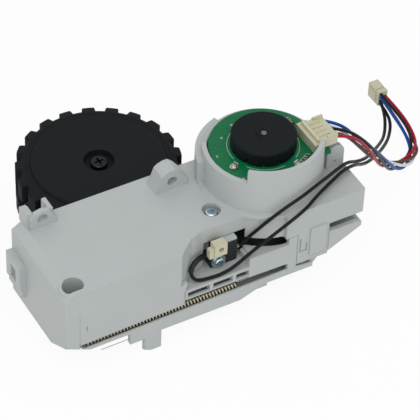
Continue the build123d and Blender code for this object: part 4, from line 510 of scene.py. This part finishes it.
def solder_mask(name, colour):
    """Fibreglass board under a green mask: narrow copper traces show lighter through it, and the glass weave,
    whose threads are 0.5 mm apart, gives a faint check."""
    material, tree, surface, place = start_finish(
        name, colour, 0.35, Coat_Weight=0.06, Coat_Roughness=0.2, Specular_IOR_Level=0.15
    )
    base = tone(tree, surface, place, colour, 5.0, 0.10)[0]
    traces = node(
        tree, "ShaderNodeTexBrick",
        {"offset": 0.5, "Scale": 1 / MM, "Brick Width": 5.2, "Row Height": 2.1, "Mortar Size": 0.12,
         "Mortar Smooth": 0.2, "Color1": (0, 0, 0, 1), "Color2": (0, 0, 0, 1), "Mortar": (1, 1, 1, 1)},
        {"Vector": place},
    )
    pour = node(tree, "ShaderNodeMath", {"operation": "MULTIPLY", 1: 0.38}, {0: traces.outputs["Color"]})
    blend(tree, surface, pour.outputs[0], base, tuple(min(1.0, c * 1.7 + 0.01) for c in colour))
    weave = node(tree, "ShaderNodeTexChecker", {"Scale": 2 / MM}, {"Vector": place})
    height = node(
        tree, "ShaderNodeMath", {"operation": "ADD"}, {0: traces.outputs["Color"], 1: weave.outputs["Fac"]}
    )
    bump = node(
        tree, "ShaderNodeBump", {"Strength": 0.15, "Distance": 0.03 * MM}, {"Height": height.outputs[0]}
    )
    tree.links.new(bump.outputs[0], surface.inputs["Normal"])
    return material


def cream_nylon(name, colour):
    """Unfilled nylon of small connectors: a warm white that lets a little light in, smooth with faint sink
    marks."""
    material, tree, surface, place = start_finish(
        name, colour, 0.42, Subsurface_Weight=0.12, Subsurface_Scale=0.0006
    )
    patches = tone(tree, surface, place, colour, 3.0, 0.05)[1]
    rounded = soft_edges(tree, 0.16)[0]
    grain(tree, surface, place, 0.8, 0.02, 0.2, rounded)
    rough_range(tree, surface, patches, 0.36, 0.5)
    return material


def wire_insulation(name, colour):
    """Extruded PVC insulation: slick, with shallow waves where the copper strands press through every 2 mm."""
    material, tree, surface, place = start_finish(name, colour, 0.4, Specular_IOR_Level=0.15)
    patches = tone(tree, surface, place, colour, 5.0, 0.08)[1]
    grain(tree, surface, place, 2.0, 0.08, 0.2, detail=1.0)
    rough_range(tree, surface, patches, 0.34, 0.48)
    return material


def shrunk_tube(name, colour):
    """Shrunk polyolefin sleeve: dull black, with fine wrinkles round it."""
    material, tree, surface, place = start_finish(name, colour, 0.5, Specular_IOR_Level=0.3)
    tone(tree, surface, place, colour, 2.0, 0.15)
    speckle = grain(tree, surface, place, 0.7, 0.1, 0.4)
    rough_range(tree, surface, speckle, 0.42, 0.6)
    return material


def finish_nodes(names, material):
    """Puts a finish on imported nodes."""
    for name in names:
        piece = NODES[name]
        if not piece.material_slots:
            raise RuntimeError(f"{name} has no material slot")
        for place in piece.material_slots:
            place.material = material


class FinishHousing(bpy.types.Operator):
    """Gives the cover and the base their grey ABS, and the housing screws their zinc"""

    bl_idname = "wheel_module.finish_housing"
    bl_label = "Housing"

    def execute(self, context):
        grey = colours().housing[:]
        # Painted edge highlight of the housing: its grey made 22 percent lighter.
        edge_highlight = tuple(min(1.0, c * 1.22) for c in grey)
        abs_ = moulded_plastic("moulded_abs_grey", grey, 0.46, 0.45, edge_highlight, 0.5)
        finish_nodes(["top_cover", "base_shell"], abs_)
        zinc = plated_screw("zinc_plate_bright", linear("C9CFD1"), linear("A9C2CC"), 0.24)
        screws = ["housing_screws", "gear_case_screws", "hub_ring_screws", "motor_screws", "switch_screw"]
        finish_nodes(screws, zinc)
        return {"FINISHED"}


class FinishWheel(bpy.types.Operator):
    """Gives the wheel's hub, its screw and its axle their finishes"""

    bl_idname = "wheel_module.finish_wheel"
    bl_label = "Wheel hub"

    def execute(self, context):
        black = colours().wheel[:]
        # Painted edge highlight of the hub and the drum: their black doubled.
        edge_highlight = tuple(c * 2.0 + 0.004 for c in black)
        abs_ = moulded_plastic("moulded_abs_black", black, 0.55, 0.4, edge_highlight, 0.25, 0.3, 0.09)
        finish_nodes(["wheel_hub", "encoder_drum"], abs_)
        oxide = plated_screw("black_oxide_screw", linear("34373A"), linear("17191B"), 0.28)
        finish_nodes(["wheel_screw"], oxide)
        steel = drawn_metal("ground_steel", linear("C4C5C6"), 0.26, 0.2, (1.0, 1.0, 0.08))
        finish_nodes(["axle", "gear_pins"], steel)
        dull = drawn_metal("dull_steel", linear("707273"), 0.5, 0.2, (1.0, 1.0, 0.08))
        finish_nodes(["motor_shaft"], dull)
        brass = drawn_metal("turned_brass", linear("C9A45C"), 0.3, 0.25, (0.1, 0.1, 1.0))
        finish_nodes(["axle_bush", "motor_pinion"], brass)
        return {"FINISHED"}


class BuildTyre(bpy.types.Operator):
    """Builds the rubber tyre with its two staggered rows of lugs"""

    bl_idname = "wheel_module.build_tyre"
    bl_label = "Tyre"

    def execute(self, context):
        rubber = tread_rubber("tread_rubber_black", colours().rubber[:])
        piece = make_piece(
            "tyre_tread", [tyre_rows(sizes().lug_height / MM)], rubber, "wheel", crease=28.0, joined=True
        )
        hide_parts("tyre")
        return {"FINISHED"}


class FinishArm(bpy.types.Operator):
    """Gives the swing arm and its gears their finishes"""

    bl_idname = "wheel_module.finish_arm"
    bl_label = "Swing arm"

    def execute(self, context):
        dark = linear("242728")
        # The fifth colour is the painted edge highlight of the arm's dark ABS.
        arm = moulded_plastic("moulded_abs_arm", dark, 0.48, 0.4, linear("3E4243"), 0.25, 0.3, 0.3)
        finish_nodes(["arm_case_lower", "arm_case_upper", "arm_hub_ring"], arm)
        white = linear("E4E0D3")
        # The fifth colour is the painted edge highlight of the white acetal.
        acetal = moulded_plastic("moulded_acetal", white, 0.38, 0.5, linear("F2EFE6"), 0.12, 0.12)
        finish_nodes(["output_gear", "gear_first", "gear_second", "gear_third"], acetal)
        return {"FINISHED"}


class FinishMotor(bpy.types.Operator):
    """Gives the motor, the encoder board and what stands on it their finishes"""

    bl_idname = "wheel_module.finish_motor"
    bl_label = "Motor and board"

    def execute(self, context):
        can = drawn_metal("plated_steel_can", linear("B4B7B9"), 0.32, 0.4, (1.0, 1.0, 0.06))
        finish_nodes(["motor_can"], can)
        # The fifth colour is the painted edge highlight of the black PBT.
        black = moulded_plastic(
            "moulded_pbt_black", linear("1F2122"), 0.5, 0.4, linear("33383A"), 0.15, 0.3, 0.3
        )
        finish_nodes(["motor_end_cap"], black)
        finish_nodes(["light_gates"], black)
        finish_nodes(["encoder_board"], solder_mask("solder_mask_green", colours().mask[:]))
        finish_nodes(["motor_terminals"], solder("tinned_strip", linear("B9B9B2")))
        # The fifth colour is the painted edge highlight of the chips.
        chip = moulded_plastic("chip_ceramic_dark", linear("2A2725"), 0.35, 0.3, linear("4A4642"), 0.08, 0.2)
        finish_nodes(["chip_parts"], chip)
        finish_nodes(
            ["board_header", "board_plug", "switch_connector", "harness_plug"],
            cream_nylon("nylon_cream", colours().nylon[:]),
        )
        return {"FINISHED"}


# Where the board's parts stand: x, y and turn of each chip, x and y of each pad, and angles about the motor's axis
CHIPS = [(62.7, -52.6, 27), (60.0, -54.0, 27), (44.5, -58.0, 0), (62.5, -26.5, 50), (66.5, -31.0, 60)]
TEST_PADS = [(38.55, -28.22), (31.91, -36.69), (45.71, -23.45), (34.9, -52.0), (69.2, -48.9), (56.8, -57.6)]
TERMINAL_ANGLES = (200.0, 290.0)
TERMINAL_RADIUS = 17.35
GATE_ANGLES = (17.0, 80.0)
GATE_RADIUS = 14.6
PRINT_ARCS = [(92, 187), (213, 277), (303, 365)]
PRINT_RADIUS = 14.1
INK_HEIGHT = 0.025
SUNK = 0.005


def round_motor(radius, angle):
    """The place at a distance and an angle about the motor's axis."""
    return MOTOR_AXIS[0] + radius * math.cos(angle), MOTOR_AXIS[1] + radius * math.sin(angle)


def trim_piece(name, shells, material, crease=30.0):
    """One piece of trim on the housing."""
    make_piece(name, shells, material, "housing", crease)


def tinned_mounds(height):
    """The solder on the motor's two terminals: a large mound on each, and a small one beside it."""
    mounds = []
    for k, degrees in enumerate(TERMINAL_ANGLES):
        a = math.radians(degrees)
        x, y = round_motor(TERMINAL_RADIUS, a)
        mounds.append(dome(x, y, BOARD_TOP + 0.88, 1.7, 1.25, height * 0.7, a, 0.05, 1.3 * k))
        x += 0.9 * math.cos(a + 1.2)
        y += 0.9 * math.sin(a + 1.2)
        mounds.append(dome(x, y, BOARD_TOP + 0.86, 0.9, 0.7, height * 0.5, a + 0.6, 0.08, 2.0 + k))
    return mounds


def chip_ends():
    """The tinned ends of the chips."""
    for x, y, degrees in CHIPS:
        a = math.radians(degrees)
        for side in (-0.92, 0.92):
            yield rounded_block(
                x + side * math.cos(a), y + side * math.sin(a), BOARD_TOP + SUNK, 0.42, 1.31, 0.6, a, 0.08, 0.09
            )


def printed_lines():
    """The ring printed round the drum, and a line on either side of each chip."""
    low = BOARD_TOP - SUNK
    for start, end in PRINT_ARCS:
        yield flat_arc(PRINT_RADIUS, 0.22, INK_HEIGHT, start, end, low)
    for x, y, degrees in CHIPS:
        a = math.radians(degrees)
        for side in (-1.05, 1.05):
            yield rounded_block(
                x - side * math.sin(a), y + side * math.cos(a), low, 2.6, 0.2, INK_HEIGHT, a, 0.005, 0.05
            )


class BuildBoardTrim(bpy.types.Operator):
    """Builds the solder, the test pads, the chips' tinned ends, the light gates' windows and the printed lines"""

    bl_idname = "wheel_module.build_board_trim"
    bl_label = "Board trim"

    def execute(self, context):
        tin = solder("reflowed_solder", linear("9C9C94"))
        trim_piece("terminal_solder", tinned_mounds(sizes().solder_height / MM), tin, 60.0)
        radius = sizes().pad_diameter / MM / 2
        pads = [
            dome(x, y, BOARD_TOP - SUNK, radius, radius, 0.16, 0, 0.02, i) for i, (x, y) in enumerate(TEST_PADS)
        ]
        trim_piece("test_pads", pads, tin, 60.0)
        trim_piece("chip_ends", chip_ends(), tin)
        # The fifth colour is the painted edge highlight of the amber windows.
        amber = moulded_plastic("gate_window_amber", linear("C79A2E"), 0.25, 0.4, linear("E0BC5A"), 0.06, 0.1)
        windows = []
        for degrees in GATE_ANGLES:
            a = math.radians(degrees)
            x, y = round_motor(GATE_RADIUS, a)
            windows.append(rounded_block(x, y, BOARD_TOP + 3.195, 1.0, 2.6, 0.28, a, 0.08, 0.3))
        trim_piece("gate_windows", windows, amber)
        # The fifth colour is the painted edge highlight of the printed ink.
        ink = moulded_plastic("printed_ink", linear("A9CDBB"), 0.6, 0.4, linear("C4DDD0"), 0.05, 0.1)
        trim_piece("printed_lines", printed_lines(), ink)
        return {"FINISHED"}


class FinishSwitch(bpy.types.Operator):
    """Gives the drop switch and the tension spring their finishes"""

    bl_idname = "wheel_module.finish_switch"
    bl_label = "Switch and spring"

    def execute(self, context):
        # The fifth colour is the painted edge highlight of the switch body.
        black = moulded_plastic(
            "moulded_phenolic_black", linear("222527"), 0.45, 0.35, linear("383C3E"), 0.15, 0.3, 0.3
        )
        finish_nodes(["switch_body"], black)
        # The fifth colour is the painted edge highlight of the plunger.
        red = moulded_plastic("moulded_pbt_red", linear("2E1514"), 0.4, 0.4, linear("4A2A28"), 0.08, 0.1)
        finish_nodes(["switch_plunger"], red)
        strip = drawn_metal("tinned_brass_strip", linear("CFCBB8"), 0.28, 0.3, (0.1, 1.0, 1.0))
        finish_nodes(["switch_terminals"], strip)
        wire = drawn_metal("spring_wire_yellow", colours().spring[:], 0.33, 0.15, (0.15, 1.0, 1.0), 0.1)
        finish_nodes(["tension_spring"], wire)
        return {"FINISHED"}


class BuildWires(bpy.types.Operator):
    """Builds the five motor wires and the switch's two leads, up to the harness plug"""

    bl_idname = "wheel_module.build_wires"
    bl_label = "Wires"

    def execute(self, context):
        chosen = colours()
        kinds = {
            "wire_blue": ("pvc_blue", chosen.blue, "wire_blue"),
            "wire_white": ("pvc_white", chosen.white, "wire_white"),
            "wire_black": ("pvc_black", chosen.black, "wire_black"),
            "wire_brown": ("pvc_brown", chosen.brown, "wire_brown"),
            "wire_red": ("pvc_red", chosen.red, "wire_red"),
            "switch_lead_upper": ("pvc_black_lead", chosen.black, "wire_black"),
            "switch_lead_lower": ("pvc_black_lead", chosen.black, "wire_black"),
        }
        made = {}
        for name, points in WIRE_POINTS.items():
            label, colour, slot = kinds[name]
            if label not in made:
                made[label] = wire_insulation(label, colour[:])
            diameter = sizes().lead_diameter if name.startswith("switch") else sizes().wire_diameter
            piece = wire_curve(name + "_line", points, diameter)
            piece.data.materials.append(made[label])
            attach(piece, "housing")
            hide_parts(name)
        return {"FINISHED"}


class BuildSleeve(bpy.types.Operator):
    """Builds the shrunk sleeve between the switch's terminal and its lower lead"""

    bl_idname = "wheel_module.build_sleeve"
    bl_label = "Shrink sleeve"

    def execute(self, context):
        path = smooth_line(SLEEVE_POINTS)
        black = shrunk_tube("shrunk_polyolefin_black", colours().black[:])
        piece = make_piece("sleeve_shrunk", [sleeve_rows(path, sizes().sleeve_diameter)], black, "housing", 50.0)
        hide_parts("heat_shrink")
        return {"FINISHED"}


# The contacts stand in two columns of four in the mouth of the harness plug
CONTACT_X = (143.6, 145.0)
CONTACT_Y = 22.1
CONTACT_Z = (1.3, 2.7, 4.1, 5.5)


class BuildHarnessContacts(bpy.types.Operator):
    """Builds the metal contacts in the mouth of the harness plug"""

    bl_idname = "wheel_module.build_harness_contacts"
    bl_label = "Harness contacts"

    def execute(self, context):
        tin = drawn_metal("tinned_contact", linear("C8C6BC"), 0.3, 0.2, (1.0, 0.1, 1.0))
        contacts = [
            rounded_block(x, CONTACT_Y, z, 0.5, 1.3, 0.8, 0, 0.06, 0.1) for x in CONTACT_X for z in CONTACT_Z
        ]
        trim_piece("harness_contacts", contacts, tin)
        return {"FINISHED"}


# Stage

CAMERA = {"azimuth": 31.004, "elevation": 43.650, "roll": 2.483, "distance": 989.12, "focal_px": 2567.2}
CAMERA_TARGET = (24.835, -44.839, 41.0)
PICTURE = 420
SENSOR = 36.0
FLOOR_HALF = 4.0
FLOOR_WHITE = 0.93
SKY = 0.62
# Name, power in watts, size, place and aim of each lamp, in metres
LAMPS = [
    ("key", 4.9, 0.9, (-0.25, -0.5, 1.1), (0.02, -0.03, 0.03)),
    ("fill", 1.7, 0.8, (-0.5, -0.9, 0.6), (0.03, -0.04, 0.03)),
]


def white_share(tree, strength):
    """The share of plain white that rays sent by the camera, a gloss or a glass see, while other rays see the
    surface or the sky as it is."""
    rays = node(tree, "ShaderNodeLightPath")
    seen = node(
        tree, "ShaderNodeMath", {"operation": "MAXIMUM"},
        {0: rays.outputs["Is Camera Ray"], 1: rays.outputs["Is Transmission Ray"]},
    )
    seen = node(
        tree, "ShaderNodeMath", {"operation": "MAXIMUM"}, {0: seen.outputs[0], 1: rays.outputs["Is Glossy Ray"]}
    )
    share = node(tree, "ShaderNodeMath", {"operation": "MULTIPLY", 1: strength}, {0: seen.outputs[0]})
    return share.outputs[0]


class BuildStage(bpy.types.Operator):
    """Sets the pale floor, the soft studio light and the camera of the photograph"""

    bl_idname = "wheel_module.build_stage"
    bl_label = "Stage"

    def execute(self, context):
        scene = context.scene
        mesh = bpy.data.meshes.new("floor")
        corners = [(x * FLOOR_HALF, y * FLOOR_HALF, 0) for x, y in ((-1, -1), (1, -1), (1, 1), (-1, 1))]
        mesh.from_pydata(corners, [], [(0, 1, 2, 3)])
        floor = bpy.data.objects.new("floor", mesh)
        scene.collection.objects.link(floor)
        paper, tree, surface, place = start_finish("studio_paper", linear("F2F2F2"), 0.9, Specular_IOR_Level=0.1)
        tone(tree, surface, place, linear("F2F2F2"), 60.0, 0.01)
        share = white_share(tree, FLOOR_WHITE)
        white = node(tree, "ShaderNodeEmission", {"Color": (1, 1, 1, 1), "Strength": 1.0})
        mix = node(tree, "ShaderNodeMixShader", {}, {0: share, 1: surface.outputs[0], 2: white.outputs[0]})
        tree.links.new(mix.outputs[0], tree.nodes["Material Output"].inputs["Surface"])
        mesh.materials.append(paper)

        world = bpy.data.worlds.new("studio")
        world.use_nodes = True
        tree = world.node_tree
        tree.nodes.clear()
        light = node(tree, "ShaderNodeBackground", {"Color": (0.98, 0.99, 1.0, 1), "Strength": SKY})
        plain = node(tree, "ShaderNodeBackground", {"Color": (1, 1, 1, 1), "Strength": 1.0})
        share = white_share(tree, 1.0)
        mix = node(tree, "ShaderNodeMixShader", {}, {0: share, 1: light.outputs[0], 2: plain.outputs[0]})
        out = node(tree, "ShaderNodeOutputWorld")
        tree.links.new(mix.outputs[0], out.inputs["Surface"])
        scene.world = world

        for name, power, size, at, aim in LAMPS:
            lamp = bpy.data.lights.new(name, "AREA")
            lamp.energy = power
            lamp.size = size
            holder = bpy.data.objects.new(name, lamp)
            holder.location = at
            holder.rotation_euler = (Vector(aim) - Vector(at)).to_track_quat("-Z", "Y").to_euler()
            scene.collection.objects.link(holder)

        az, el, roll = (math.radians(CAMERA[k]) for k in ("azimuth", "elevation", "roll"))
        right = Vector((math.cos(az), -math.sin(az), 0))
        back = Vector((-math.sin(az) * math.cos(el), -math.cos(az) * math.cos(el), math.sin(el)))
        up = back.cross(right)
        right, up = (
            math.cos(roll) * right + math.sin(roll) * up,
            -math.sin(roll) * right + math.cos(roll) * up,
        )
        eye = (Vector(CAMERA_TARGET) + back * CAMERA["distance"]) * MM
        lens = bpy.data.cameras.new("photo_camera")
        lens.sensor_width = SENSOR
        lens.lens = CAMERA["focal_px"] / PICTURE * SENSOR
        lens.clip_start = 0.05
        lens.clip_end = 20.0
        camera = bpy.data.objects.new("photo_camera", lens)
        camera.matrix_world = Matrix((
            (right.x, up.x, back.x, eye.x),
            (right.y, up.y, back.y, eye.y),
            (right.z, up.z, back.z, eye.z),
            (0, 0, 0, 1),
        ))
        scene.collection.objects.link(camera)
        scene.camera = camera
        scene.view_settings.view_transform = "Standard"
        return {"FINISHED"}


OPERATORS = [
    BuildStage, BuildSleeve, BuildWires, FinishHousing, FinishWheel, BuildTyre, FinishArm, FinishMotor,
    BuildBoardTrim, FinishSwitch, BuildHarnessContacts,
]


class WheelModulePanel(bpy.types.Panel):
    """Lists the sizes, the colours and the steps of the wheel module."""

    bl_idname = "VIEW3D_PT_wheel_module"
    bl_label = "Wheel Module"
    bl_space_type = "VIEW_3D"
    bl_region_type = "UI"
    bl_category = "Wheel Module"

    def draw(self, context):
        layout = self.layout
        for group in (context.scene.wheel_module_sizes, context.scene.wheel_module_colours):
            box = layout.box()
            for key in group.__annotations__:
                box.prop(group, key)
        for step in OPERATORS:
            layout.operator(step.bl_idname)


CLASSES = [WheelModuleSizes, WheelModuleColours, *OPERATORS, WheelModulePanel]


def register():
    for cls in CLASSES:
        bpy.utils.register_class(cls)
    bpy.types.Scene.wheel_module_sizes = bpy.props.PointerProperty(type=WheelModuleSizes)
    bpy.types.Scene.wheel_module_colours = bpy.props.PointerProperty(type=WheelModuleColours)


def unregister():
    del bpy.types.Scene.wheel_module_colours
    del bpy.types.Scene.wheel_module_sizes
    for cls in reversed(CLASSES):
        bpy.utils.unregister_class(cls)


def main():
    register()
    for step in OPERATORS:
        group, name = step.bl_idname.split(".")
        getattr(getattr(bpy.ops, group), name)()


if __name__ == "__main__":
    main()
